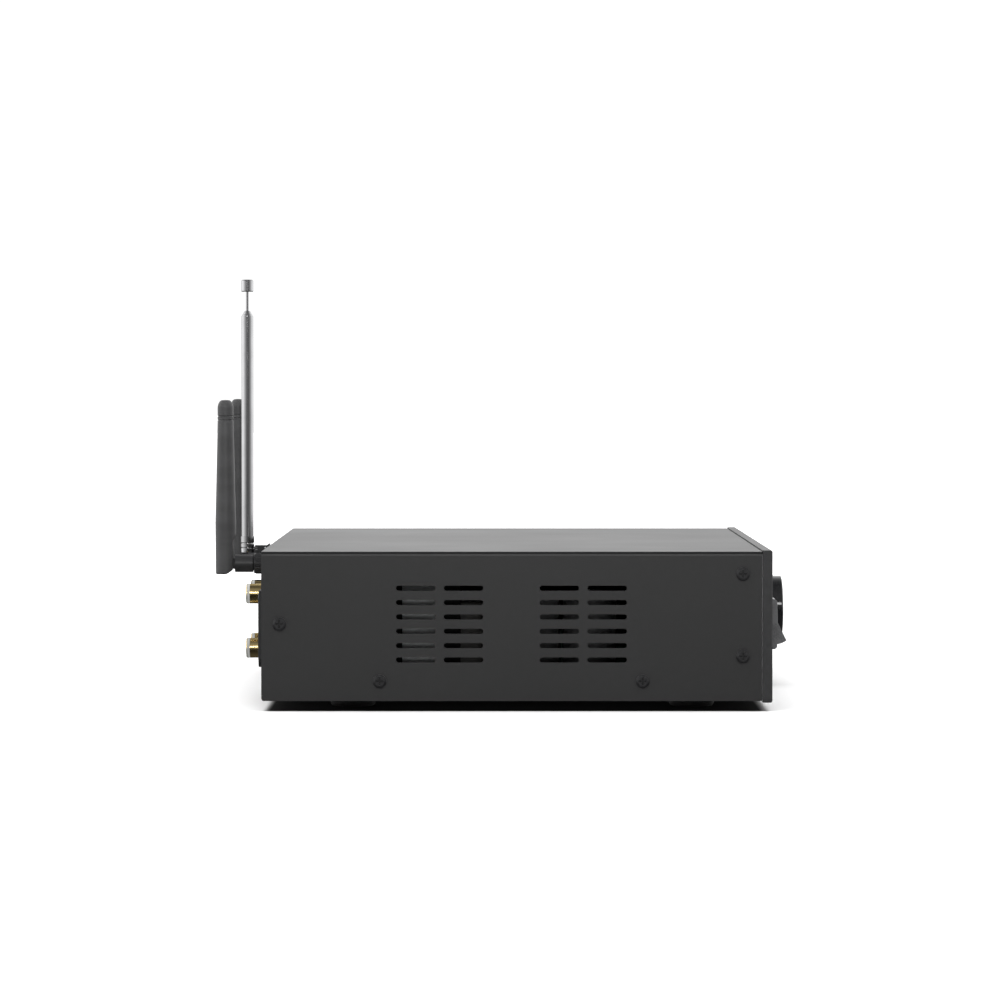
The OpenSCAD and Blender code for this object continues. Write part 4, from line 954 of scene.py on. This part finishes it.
def softened(
    node: str,
    radius_mm: float,
    segments: int = 2,
    finish: Finish | None = None,
    folds: Callable[[bmesh.types.BMEdge], bool] | None = None,
    fold_times: float = 4.0,
) -> bpy.types.Object:
    """Stand for a CAD node with its own shape, its edges broken by a small radius.

    Args:
        node: the CAD node.
        radius_mm: how far the broken edge reaches.
        segments: how many steps the broken edge has.
        finish: another finish than its slot's.
        folds: tells the folded edges, which are rounder, from the cut ones.
        fold_times: how many times rounder they are.

    Returns:
        The piece that replaces the node.
    """
    bm = bmesh.new()
    bm.from_mesh(frame["nodes"][node].data)
    bmesh.ops.remove_doubles(bm, verts=bm.verts, dist=SAME_PLACE_M)
    bmesh.ops.dissolve_limit(bm, angle_limit=math.radians(FLAT_DEG), verts=bm.verts, edges=bm.edges)
    if folds is not None:
        weight = bm.edges.layers.float.new("bevel_weight_edge")
        for edge in bm.edges:
            if edge.is_manifold and edge.calc_face_angle() > math.radians(FOLD_DEG):
                edge[weight] = 1.0 if folds(edge) else 1.0 / fold_times
    mesh = bpy.data.meshes.new(node + "_finished")
    bm.to_mesh(mesh)
    bm.free()
    shade(mesh, FOLD_DEG)
    carrier = linked("carrier", mesh)
    if radius_mm:
        bevel = carrier.modifiers.new("edge", "BEVEL")
        bevel.width, bevel.segments = radius_mm * MM * (fold_times if folds else 1.0), segments
        bevel.limit_method, bevel.angle_limit = "WEIGHT" if folds else "ANGLE", math.radians(FOLD_DEG)
        bevel.harden_normals, bevel.use_clamp_overlap = True, True
    level = carrier.modifiers.new("level", "WEIGHTED_NORMAL")
    level.keep_sharp, level.weight = True, 100
    made = taken(carrier)
    bpy.data.objects.remove(carrier)
    slot = SLOT_OF[node]
    done = piece(node + "_finished", made, body_of(node), finish or SLOT_FINISHES[slot])
    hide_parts(node)
    LOG.info("%s: %d faces", node, len(made.polygons))
    return done


# ---------------------------------------------------------------- geometry nodes


class GeoTree(Graph):
    """A geometry node tree with named inputs."""

    def __init__(self, name: str) -> None:
        """Start a tree with one geometry output."""
        super().__init__(bpy.data.node_groups.new(name, "GeometryNodeTree"))
        self.tree.interface.new_socket("Geometry", in_out="OUTPUT", socket_type="NodeSocketGeometry")
        self.entry = self.tree.nodes.new("NodeGroupInput")

    def size(self, name: str, kind: str = "Float") -> Signal:
        """Add a named input and return what comes from it."""
        self.tree.interface.new_socket(name, in_out="INPUT", socket_type="NodeSocket" + kind)
        return Signal(self.tree, self.entry.outputs[name])

    def sizes(self, *names: str) -> list[Signal]:
        """Add named numbers and return what comes from each."""
        return [self.size(name) for name in names]

    def turned(self, angle: Signal) -> Signal:
        """A rotation by that angle about the outward axis."""
        euler = self.node("ShaderNodeCombineXYZ", None, {"Z": angle})
        return self.node("FunctionNodeEulerToRotation", None, {0: euler})

    def spots(self, count: Signal, across: Signal, up: Signal) -> Signal:
        """Count points at the places that each index gives."""
        spot = self.node("ShaderNodeCombineXYZ", None, {"X": across, "Y": up})
        return self.node("GeometryNodePoints", None, {"Count": count, "Position": spot})

    def copies(self, points: Signal, turn: Signal | None = None) -> bpy.types.NodeTree:
        """Put the copied mesh on the points, place it all, and close the tree."""
        copied, own_space = self.size("Copy", "Object"), {"transform_space": "ORIGINAL"}
        seed = self.node("GeometryNodeObjectInfo", own_space, {"Object": copied}, "Geometry")
        sockets: dict[int | str, Any] = {"Points": points, "Instance": seed}
        if turn is not None:
            sockets["Rotation"] = turn
        made = self.node("GeometryNodeInstanceOnPoints", None, sockets)
        centre, lean = self.size("Centre", "Vector"), self.size("Turn", "Rotation")
        place = {"Geometry": made, "Translation": centre, "Rotation": lean}
        made = self.node("GeometryNodeTransform", None, place)
        made = self.node("GeometryNodeRealizeInstances", None, {"Geometry": made})
        material = self.size("Material", "Material")
        made = self.node("GeometryNodeSetMaterial", None, {"Geometry": made, "Material": material})
        self.close("NodeGroupOutput", made)
        return self.tree


@lru_cache(maxsize=None)
def ring_tree() -> bpy.types.NodeTree:
    """Copies round an axis: Count of them from Start, Step apart, on Radius."""
    graph = GeoTree("copies_in_a_ring")
    count = graph.size("Count", "Int")
    radius, start, step = graph.sizes("Radius", "Start", "Step")
    angle = graph.node("GeometryNodeInputIndex") * step + start
    points = graph.spots(count, angle.cosine() * radius, angle.sine() * radius)
    return graph.copies(points, graph.turned(angle))


@lru_cache(maxsize=None)
def grid_tree() -> bpy.types.NodeTree:
    """Copies in rows: Count of them, Columns to a row, Across and Up apart."""
    graph = GeoTree("copies_in_rows")
    count = graph.size("Count", "Int")
    columns, across, up = graph.sizes("Columns", "Across", "Up")
    index = graph.node("GeometryNodeInputIndex")
    row = ((index + 0.001) / columns).floor()
    return graph.copies(graph.spots(count, (index - row * columns) * across, row * up))


@lru_cache(maxsize=None)
def scatter_tree() -> bpy.types.NodeTree:
    """Copies strewn on a rectangle, turned by quarter turns, at least Apart from each other."""
    graph = GeoTree("copies_strewn")
    wide, deep, apart = graph.sizes("Wide", "Deep", "Apart")
    seed = graph.size("Seed", "Int")
    corners = {"Size X": wide, "Size Y": deep, "Vertices X": 2, "Vertices Y": 2}
    ground = graph.node("GeometryNodeMeshGrid", None, corners, "Mesh")
    points = graph.node(
        "GeometryNodeDistributePointsOnFaces",
        {"distribute_method": "POISSON"},
        {"Mesh": ground, "Distance Min": apart, "Density Max": 60000.0, "Seed": seed},
        "Points",
    )
    quarter = graph.node("FunctionNodeRandomValue", {"data_type": "INT"}, {4: 0, 5: 3, "Seed": seed}, 2)
    return graph.copies(points, graph.turned(quarter * (math.pi / 2)))


def repeated(
    name: str,
    tree: bpy.types.NodeTree,
    copy: Shape,
    where: Matrix,
    body: str,
    finish: Finish,
    slot: str,
    **sizes: Any,
) -> bpy.types.Object:
    """Make a piece of repeated copies with a geometry node tree.

    Args:
        name: the piece's name.
        tree: the node tree.
        copy: the shape that repeats, in millimetres about its own origin.
        where: the place and turn of the pattern.
        body: the CAD body that the piece moves with.
        finish: what it is made of.
        slot: the record's material slot; not used.
        sizes: the tree's named inputs, in metres and radians.

    Returns:
        The piece, a plain mesh.
    """
    seed = linked(name + "_copy", copy.mesh(name + "_copy", Matrix.Scale(MM, 4)))
    carrier = linked(name + "_carrier", bpy.data.meshes.new(name + "_carrier"))
    mod = carrier.modifiers.new("pattern", "NODES")
    mod.node_group = tree
    centre, lean = where.to_translation()[:], where.to_euler()[:]
    values = dict(sizes, Copy=seed, Material=finish.material(), Centre=centre, Turn=lean)
    for item in tree.interface.items_tree:
        if item.item_type == "SOCKET" and item.in_out == "INPUT":
            mod[item.identifier] = values[item.name]
    made = taken(carrier)
    for helper in (seed, carrier):
        bpy.data.objects.remove(helper)
    shade(made, SMOOTH_DEG)
    done = piece(name, made, body, finish)
    LOG.info("%s: %d faces", name, len(made.polygons))
    return done


# ---------------------------------------------------------------- sub-assemblies


PRINT_LOW = -0.05  # where printing starts, under its surface, in millimetres
PRINT_HIGH = 0.04
LEVERS = ("lever_right_minus", "lever_right_plus", "lever_left_minus", "lever_left_plus")


@dataclass
class Case:
    """The folded cover, tray, panels, feet and screws."""

    edges_mm: dict[str, float] = field(
        default_factory=lambda: {
            "top_cover": 0.18, "rear_panel": 0.15, "front_plate": 0.12, "chassis_tray": 0.15,
            "front_sub_panel": 0.0, "feet": 0.3, "case_screws": 0.10, "foot_screws": 0.10,
        }
    )

    def build(self) -> None:
        """Stand for each outer sheet and fastener with broken edges."""
        self.cover = Room.of("top_cover")
        for node, radius in self.edges_mm.items():
            if node == "top_cover":
                softened(node, radius, 3, COVER_COAT, self.is_fold)
            else:
                softened(node, radius)

    def is_fold(self, edge: bmesh.types.BMEdge) -> bool:
        """Whether an edge of the cover is one of its two long outer bends."""
        first, second = (vert.co / MM for vert in edge.verts)
        high = self.cover.high
        return abs(first.y - second.y) > 100 and all(
            abs(co.z - high.z) < 0.01 and abs(abs(co.x) - high.x) < 0.01 for co in (first, second)
        )


@dataclass
class FrontControls:
    """Knobs, buttons, the rocker, and the printing round them."""

    volume_ticks: int = 31
    tone_ticks: int = 11
    tick_mm: float = 0.35
    sweep_deg: float = 280.0
    rocker_lean_deg: float = 14.0
    rocker_face_deg: float = 23.0
    rocker_radius: float = 8.5
    rocker_valley: float = 1.5
    icon_lift: float = 2.6

    def __post_init__(self) -> None:
        """Read where the plate's front is."""
        self.plate_y = Room.of("front_plate").low.y

    def build(self) -> None:
        """Make the controls and dress them."""
        for node in ("volume_knob", "bass_knob", "treble_knob"):
            softened(node, 0.25, 3)
        for node in ("button_back", "button_source", "button_next"):
            softened(node, 0.3, 3, SWITCH)
        softened("rocker_housing", 0.35, 3, SWITCH)
        softened("power_rocker", 0.35, 3, SWITCH)
        softened("usb_socket", 0.08)
        self.scales()
        self.pointers()
        self.icons()
        self.rocker_marks()
        self.usb_contacts()

    def scales(self) -> None:
        """Print a ring of ticks round each knob."""
        for name, node, count, radius, length in (
            ("volume_scale", "volume_knob", self.volume_ticks, 17.6, 1.8),
            ("bass_scale", "bass_knob", self.tone_ticks, 9.9, 1.3),
            ("treble_scale", "treble_knob", self.tone_ticks, 9.9, 1.3),
        ):
            room = Room.of(node)
            where = Face.FRONT.at(room.middle.x, self.plate_y, room.middle.z)
            tick = Shape().bar(0.0, 0.0, length, self.tick_mm, PRINT_LOW, PRINT_HIGH)
            step = math.radians(self.sweep_deg) / (count - 1)
            start = math.pi / 2 - math.radians(self.sweep_deg) / 2
            repeated(
                name, ring_tree(), tick, where, "chassis", INK, "white_plastic",
                Count=count, Radius=radius * MM, Start=start, Step=step,
            )
            ends = Shape()
            reach, low = radius + 0.4, math.radians(-62.0)
            for side in (-1, 1):
                u, v = side * reach * math.cos(low), reach * math.sin(low)
                ends.sign(u, v, (1.7, self.tick_mm), (0.52, 0.68), (PRINT_LOW, PRINT_HIGH), side > 0)
            ends.put(name + "_signs", where)

    def pointers(self) -> None:
        """Lay a pale pointer into each knob."""
        room = Room.of("volume_knob")
        rim, dome, outer = 5.0, 1.0, room.wide / 2
        steps, first, last = 8, 10.6, outer - 0.35
        rows = []
        for i in range(steps + 1):
            radius = first + (last - first) * i / steps
            drop = dome * (1 - math.sin(math.acos(max(-1.0, 1 - (outer - radius) / rim))))
            rows.append((radius, -drop))
        where = Face.FRONT.at(room.middle.x, room.low.y, room.middle.z)
        Shape().strip(rows, 0.4, 0.25, 0.02).put("volume_pointer", where, "volume_control")
        for name in ("bass", "treble"):
            room = Room.of(name + "_knob")
            radius = room.wide / 2
            inlay = Shape().bar(0.0, radius * 0.7, 0.9, radius * 0.5, -0.52, -0.3)
            where = Face.FRONT.at(room.middle.x, room.low.y, room.middle.z)
            inlay.put(name + "_pointer", where, name + "_knob")

    def icons(self) -> None:
        """Print a plain sign over each button."""
        for name, kind in (("button_back", -1), ("button_source", 0), ("button_next", 1)):
            room = Room.of(name)
            sign = Shape()
            if kind:
                for shift in (-0.9, 0.9):
                    tip, base = shift + 0.75 * kind, shift - 0.75 * kind
                    loop = [(base, -0.95), (tip, 0.0), (base, 0.95)]
                    sign.prism(loop[::kind], PRINT_LOW, PRINT_HIGH)
            else:
                sign.band(circle(0, 0, 1.25), circle(0, 0, 0.95), PRINT_LOW, PRINT_HIGH)
                sign.prism(circle(0, 0, 0.4, 20), PRINT_LOW, PRINT_HIGH)
            sign.put(name + "_sign", Face.FRONT.at(room.middle.x, self.plate_y, room.high.z + self.icon_lift))

    def rocker_marks(self) -> None:
        """Fill a bar on one lobe of the rocker and a ring on the other."""
        pivot = next(j for j in frame["joints"] if j["name"] == "power_rocker_tilt")["pos_m"]
        tip = self.rocker_radius * math.sin(math.radians(self.rocker_face_deg))
        slant = math.atan2(tip - self.rocker_valley, self.rocker_radius)
        lean = Matrix.Rotation(math.radians(-self.rocker_lean_deg), 4, "X")
        rise = (-0.2, 0.03)
        for name, side in (("rocker_on_mark", 1), ("rocker_off_mark", -1)):
            mark = Shape()
            if side > 0:
                mark.bar(0, 0, 0.55, 3.0, *rise)
            else:
                mark.band(circle(0, 0, 1.6, 40), circle(0, 0, 1.1, 40), *rise)
            middle = Vector((0, -(self.rocker_valley + tip) / 2, side * self.rocker_radius * 0.48))
            slope = Matrix.Rotation(side * slant, 4, "X")
            spot = lean @ Matrix.Translation(middle * MM) @ slope
            mark.put(name, Matrix.Translation(Vector(pivot)) @ spot @ Face.FRONT.at(0, 0, 0), "power_rocker")

    def usb_contacts(self) -> None:
        """Lay four gold contacts on the socket's tongue."""
        room = Room.of("usb_socket")
        where = Face.BOTTOM.at(room.middle.x - 3.75, room.low.y + 5.4, room.middle.z + 0.35)
        strip = Shape().bar(0, 0, 1.0, 6.0, 0.0, 0.12)
        repeated(
            "usb_contacts", grid_tree(), strip, where, "chassis", GOLD, "gold_plate",
            Count=4, Columns=4.0, Across=2.5 * MM, Up=0.0,
        )


@dataclass
class Display:
    """The smoked window, the glass behind it, and its segments."""

    bars: int = 26
    lit_bars: int = 17
    bar_pitch: float = 1.9
    digits: tuple[int, int] = (2, 4)
    digit_pitch: float = 6.2
    segment: Point2 = (2.5, 0.62)
    lit_rise: Point2 = (0.0, 0.08)
    on_glass: float = 0.02

    def build(self) -> None:
        """Make the window, level bars and digits."""
        softened("display_window", 0.12)
        softened("display_module", 0.15)
        self.frame_line()
        self.level_bars()
        self.numbers()

    def frame_line(self) -> None:
        """Print a thin line round the window."""
        room = Room.of("display_window")
        plate = Room.of("front_plate").low.y
        width, height = room.wide - 4, room.tall - 2
        outer, inner = rounded(width + 1.6, height + 1.6, 0.8), rounded(width + 1.1, height + 1.1, 0.55)
        where = Face.FRONT.at(room.middle.x, plate, room.middle.z)
        Shape().band(outer, inner, PRINT_LOW, 0.03).put("window_line", where)

    def level_bars(self) -> None:
        """Two rows of level bars, part of them lit."""
        room = Room.of("display_window")
        first = room.middle.x - 30.0
        for name, skip, count, finish in (
            ("level_bars_lit", 0, self.lit_bars, LIT),
            ("level_bars_unlit", self.lit_bars, self.bars - self.lit_bars, UNLIT),
        ):
            bar = Shape().bar(0, 0, 1.2, 3.0, *self.lit_rise)
            start = first + skip * self.bar_pitch
            where = Face.FRONT.at(start, room.high.y - self.on_glass, room.middle.z - 7.0)
            repeated(
                name, grid_tree(), bar, where, "chassis", finish, "display_glass",
                Count=2 * count, Columns=float(count), Across=self.bar_pitch * MM, Up=4.2 * MM,
            )

    def numbers(self) -> None:
        """Seven-bar digits, those of a volume level."""
        lit = {2: "abged", 4: "fgbc"}
        places = {
            "a": (0, 2, 1), "b": (1, 1, 0), "c": (1, -1, 0), "d": (0, -2, 1),
            "e": (-1, -1, 0), "f": (-1, 1, 0), "g": (0, 0, 1),
        }
        room = Room.of("display_window")
        half = 1.75
        shape = Shape()
        for k, digit in enumerate(self.digits):
            for key in lit[digit]:
                u, v, flat = places[key]
                size = self.segment if flat else self.segment[::-1]
                shape.bar(self.digit_pitch * k + u * half, v * half, *size, *self.lit_rise)
        where = Face.FRONT.at(room.high.x - 14.5, room.high.y - self.on_glass, room.middle.z + 5.0)
        shape.put("level_digits", where, "chassis", LIT, "display_glass")


@dataclass
class RearSockets:
    """Phono jacks, speaker terminal and mains inlet, with the printing round them."""

    shell_radius: float = 4.2

    def __post_init__(self) -> None:
        """Read where the rear panel's face is."""
        self.face_y = Room.of("rear_panel").high.y
        self.shells = Room.of("rca_shells")

    def build(self) -> None:
        """Make the sockets and dress them."""
        softened("rca_shells", 0.12)
        softened("rca_insulators", 0.15)
        softened("speaker_terminal", 0.25)
        softened("mains_inlet", 0.4, 3)
        softened("inlet_pins", 0.3, 3)
        for node in LEVERS:
            softened(node, 0.3, 3)
        self.jack_trim()
        self.group_lines()
        self.polarity_signs()

    def jack_places(self) -> Iterable[Point2]:
        """Each phono jack's centre on the panel."""
        radius = self.shell_radius
        for x in (self.shells.low.x + radius, self.shells.high.x - radius):
            for z in (self.shells.low.z + radius, self.shells.high.z - radius):
                yield x, z

    def jack_trim(self) -> None:
        """A flange at the root of each jack, a bright lip at its mouth and a coloured ring round it."""
        flange, lip, white, red = Shape(), Shape(), Shape(), Shape()
        depth = self.shells.high.y - self.face_y
        for x, z in self.jack_places():
            spot = (-x, z)
            flange.turned([(4.21, 0.0), (5.3, 0.0), (5.3, 0.5), (5.0, 0.8), (4.21, 0.8)], 48, spot)
            root, shoulder = depth - 1.6, depth - 0.55
            mouth = [(4.22, shoulder), (3.85, depth), (3.5, depth), (3.32, depth - 0.2)]
            lip.turned([(3.32, root), (4.22, root), *mouth], 48, spot)
            ring = red if z < self.shells.middle.z else white
            ring.band(circle(*spot, 6.6, 48), circle(*spot, 5.8, 48), PRINT_LOW, PRINT_HIGH)
        where = Face.REAR.at(0, self.face_y, 0)
        flange.put("jack_flanges", where, "chassis", GOLD, "gold_plate")
        lip.put("jack_lips", where, "chassis", LIP)
        white.put("jack_rings_white", where)
        red.put("jack_rings_red", where, "chassis", RED_INK, "red_plastic")

    def group_lines(self) -> None:
        """Print a line round each group of sockets."""
        lines = Shape()
        for node, margin in (("rca_shells", 5.0), ("speaker_terminal", 2.2), ("mains_inlet", 2.2)):
            room = Room.of(node)
            width, height = room.wide + 2 * margin, room.tall + 2 * margin
            spot = (-room.middle.x, room.middle.z)
            outer, inner = rounded(width, height, 2.0, *spot), rounded(width - 0.6, height - 0.6, 1.7, *spot)
            lines.band(outer, inner, PRINT_LOW, PRINT_HIGH)
        lines.put("rear_lines", Face.REAR.at(0, self.face_y, 0))

    def polarity_signs(self) -> None:
        """Raise a plus or a minus under each speaker lever."""
        terminal = Room.of("speaker_terminal")
        signs = Shape()
        for node in LEVERS:
            u, v = -Room.of(node).middle.x, terminal.high.z - 1.6
            signs.sign(u, v, (1.8, 0.4), (0.55, 0.7), (0.0, 0.06), node.endswith("plus"))
        signs.put("polarity_signs", Face.REAR.at(0, self.face_y + 2.0, 0))


@dataclass
class Aerials:
    """Two folding whips and the telescopic rod."""

    nut_ribs: int = 30

    def build(self) -> None:
        """Make the aerials and their nuts."""
        for side in ("left", "right"):
            softened(f"bt_{side}_base", 0.2, 2, SATIN)
            softened(f"bt_{side}_aerial", 0.12)
        softened("aerial_nuts", 0.3)
        softened("fm_bushing", 0.2)
        softened("fm_base", 0.12)
        softened("fm_tube", 0.04, 1)
        for node in ("fm_section_2", "fm_section_3", "fm_section_4"):
            softened(node, 0.0)
        softened("fm_tip_rod", 0.06)
        self.nut_grip()

    def nut_grip(self) -> None:
        """Fine ribs round the aerial nuts."""
        nuts = Room.of("aerial_nuts")
        radius = nuts.tall / 2
        length = nuts.high.y - Room.of("rear_panel").high.y
        slot, outline = "black_metal", [(-0.15, -0.22), (0.0, -0.22), (0.14, 0.0), (0.0, 0.22), (-0.15, 0.22)]
        for name, x in (("left", nuts.low.x + radius), ("right", nuts.high.x - radius)):
            rib = Shape().prism(outline, 0.8, length - 0.8)
            where = Face.REAR.at(x, nuts.high.y - length, nuts.middle.z)
            repeated(
                f"bt_{name}_nut_grip", ring_tree(), rib, where, "chassis", SLOT_FINISHES[slot], slot,
                Count=self.nut_ribs, Radius=radius * MM, Start=0.0, Step=2 * math.pi / self.nut_ribs,
            )


@dataclass
class Inside:
    """What shows through the vents."""

    edges_mm: dict[str, float] = field(
        default_factory=lambda: {
            "filter_capacitors": 0.8, "transformer_core": 0.25, "transformer_coil": 1.6,
            "transformer_bracket": 0.2, "heat_sink": 0.25, "amplifier_chips": 0.2,
        }
    )
    strewn: tuple[tuple[str, str, float, float, int], ...] = (
        ("amplifier_board", "amplifier_parts", 100.0, 80.0, 4),
        ("radio_board", "radio_parts", 50.0, 24.0, 7),
        ("power_board", "power_parts", 24.0, 40.0, 11),
    )

    def build(self) -> None:
        """Round the big parts and strew small ones on the boards."""
        for node, radius in self.edges_mm.items():
            softened(node, radius, 3)
        board_top = Room.of("power_board").low.z + 1.6
        for board, name, wide, deep, seed in self.strewn:
            room = Room.of(board)
            chip = Shape().bar(0, 0, 2.0, 1.2, 0.0, 0.7)
            for u in (1.2, -1.2):
                chip.bar(u, 0, 0.4, 1.3, 0.0, 0.5)
            repeated(
                name, scatter_tree(), chip, Face.TOP.at(room.middle.x, room.middle.y, board_top), "chassis",
                SATIN, "black_plastic", Wide=wide * MM, Deep=deep * MM, Apart=6.5 * MM, Seed=seed,
            )
        self.capacitor_tops()

    def capacitor_tops(self) -> None:
        """The bare metal top of each big capacitor."""
        room = Room.of("filter_capacitors")
        radius = room.wide / 2
        outline = [(0.0, -0.4), (8.4, -0.4), (8.4, -0.06), (8.0, -0.02), (0.0, -0.02)]
        tops = Shape()
        for y in (room.low.y + radius, room.high.y - radius):
            tops.turned(outline, 48, (room.middle.x, y))
        tops.put("capacitor_tops", Face.TOP.at(0, 0, room.high.z), "chassis", NICKEL, "plated_metal")


def dress_nodes() -> None:
    """Give every CAD node the finish of its slot."""
    for name, node in frame["nodes"].items():
        finish = SLOT_FINISHES[SLOT_OF[name]]
        for holder in node.material_slots:
            holder.material = finish.material()


@dataclass
class Studio:
    """Floor, lights and camera."""

    camera_at: tuple[float, float, float] = (-1.923, 0.0019, 0.1362)
    aim_at: tuple[float, float, float] = (0.0, 0.0016, 0.0826)
    lens_mm: float = 157.3
    floor_half_mm: float = 9000.0
    backdrop: float = 1.35
    camera_side: float = 0.14
    dim: float = 0.05
    bright_way: tuple[float, float, float] = (1.0, 0.25, 0.0)

    def build(self) -> None:
        """Set it all up."""
        self.camera()
        self.floor()
        self.world()
        self.softbox("overhead_softbox", (-0.25, 0.0, 1.5), (-0.05, 0.0, 0.0), 2.2, 2.2, 48.0, False)
        self.softbox("front_strip", (-2.4, 0.0, 0.66), (0.0, 0.0, 0.05), 1.2, 0.34, 9.0)
        bpy.context.scene.view_settings.view_transform = "Standard"

    def camera(self) -> None:
        """A long lens looking at the receiver's left side."""
        data = bpy.data.cameras.new("camera")
        data.lens, data.sensor_width = self.lens_mm, 36.0
        data.clip_start, data.clip_end = 0.05, 50.0
        bpy.context.scene.camera = self.aimed("camera", data, self.camera_at, self.aim_at)

    def aimed(self, name: str, data: bpy.types.ID, at: Triple, aim: Triple) -> bpy.types.Object:
        """Hang a camera or a light so that it looks at a point."""
        made = linked(name, data)
        made.location = at
        made.rotation_mode = "QUATERNION"
        made.rotation_quaternion = (Vector(aim) - Vector(at)).to_track_quat("-Z", "Y")
        return made

    def floor(self) -> None:
        """A wide pale floor under the feet."""
        half = self.floor_half_mm
        shape = Shape().prism([(-half, -half), (half, -half), (half, half), (-half, half)], -20.0, 0.0)
        made = linked("studio_floor", shape.mesh("studio_floor", Face.TOP.at(0, 0, 0)))
        made.data.materials.append(StudioFloor("studio_floor").material())
        made.visible_glossy = False

    def world(self) -> None:
        """A white surround that is dimmer on the camera's side."""
        world = bpy.data.worlds.new("studio")
        bpy.context.scene.world = world
        world.use_nodes = True
        sky = Graph(world.node_tree)
        way = sky.node("ShaderNodeTexCoord", out="Generated")
        dot = {"operation": "DOT_PRODUCT"}
        lean = sky.node("ShaderNodeVectorMath", dot, {0: way, 1: self.bright_way}, "Value")
        span = {"From Min": -1.0, "From Max": 0.15, "To Min": self.camera_side, "To Max": self.backdrop}
        across = sky.node("ShaderNodeMapRange", None, {"Value": lean, **span})
        up = sky.node("ShaderNodeSeparateXYZ", None, {0: way}, "Z")
        rise = sky.node("ShaderNodeMapRange", None, {"Value": up, "From Min": -1.0})
        levels = ((0.0, self.dim), (0.42, self.dim), (0.50, 1.0), (0.70, 1.0), (1.0, self.dim))
        stops = [(at, (level, level, level)) for at, level in levels]
        height = sky.node("ShaderNodeValToRGB", {"stops": stops}, {0: rise})
        white = (1.0, 1.0, 1.0, 1.0)
        soft = sky.node("ShaderNodeBackground", None, {"Color": white, "Strength": across * height})
        plain = sky.node("ShaderNodeBackground", None, {"Color": white, "Strength": 1.05})
        seen = sky.node("ShaderNodeLightPath", out="Is Camera Ray")
        either = sky.node("ShaderNodeMixShader", None, {0: seen, 1: soft, 2: plain})
        sky.close("ShaderNodeOutputWorld", either)

    def softbox(
        self,
        name: str,
        at: Triple,
        aim: Triple,
        width: float,
        height: float,
        watts: float,
        mirrored: bool = True,
    ) -> None:
        """Hang a rectangular light.

        Args:
            name: its name.
            at: where it hangs, in metres.
            aim: what it points at.
            width: its width in metres.
            height: its height in metres.
            watts: its power.
            mirrored: whether shiny surfaces show it.
        """
        data = bpy.data.lights.new(name, "AREA")
        data.shape, data.size, data.size_y, data.energy = "RECTANGLE", width, height, watts
        self.aimed(name, data, at, aim).visible_glossy = mirrored


def main() -> None:
    """Build every sub-assembly in order and say what was made."""
    logging.basicConfig(level=logging.INFO, format="%(message)s")
    dress_nodes()
    parts: list[Any] = [Studio(), Case(), FrontControls(), Display(), RearSockets(), Aerials(), Inside()]
    for part in parts:
        part.build()
        LOG.info("built %s", type(part).__name__)


if __name__ == "__main__":
    main()
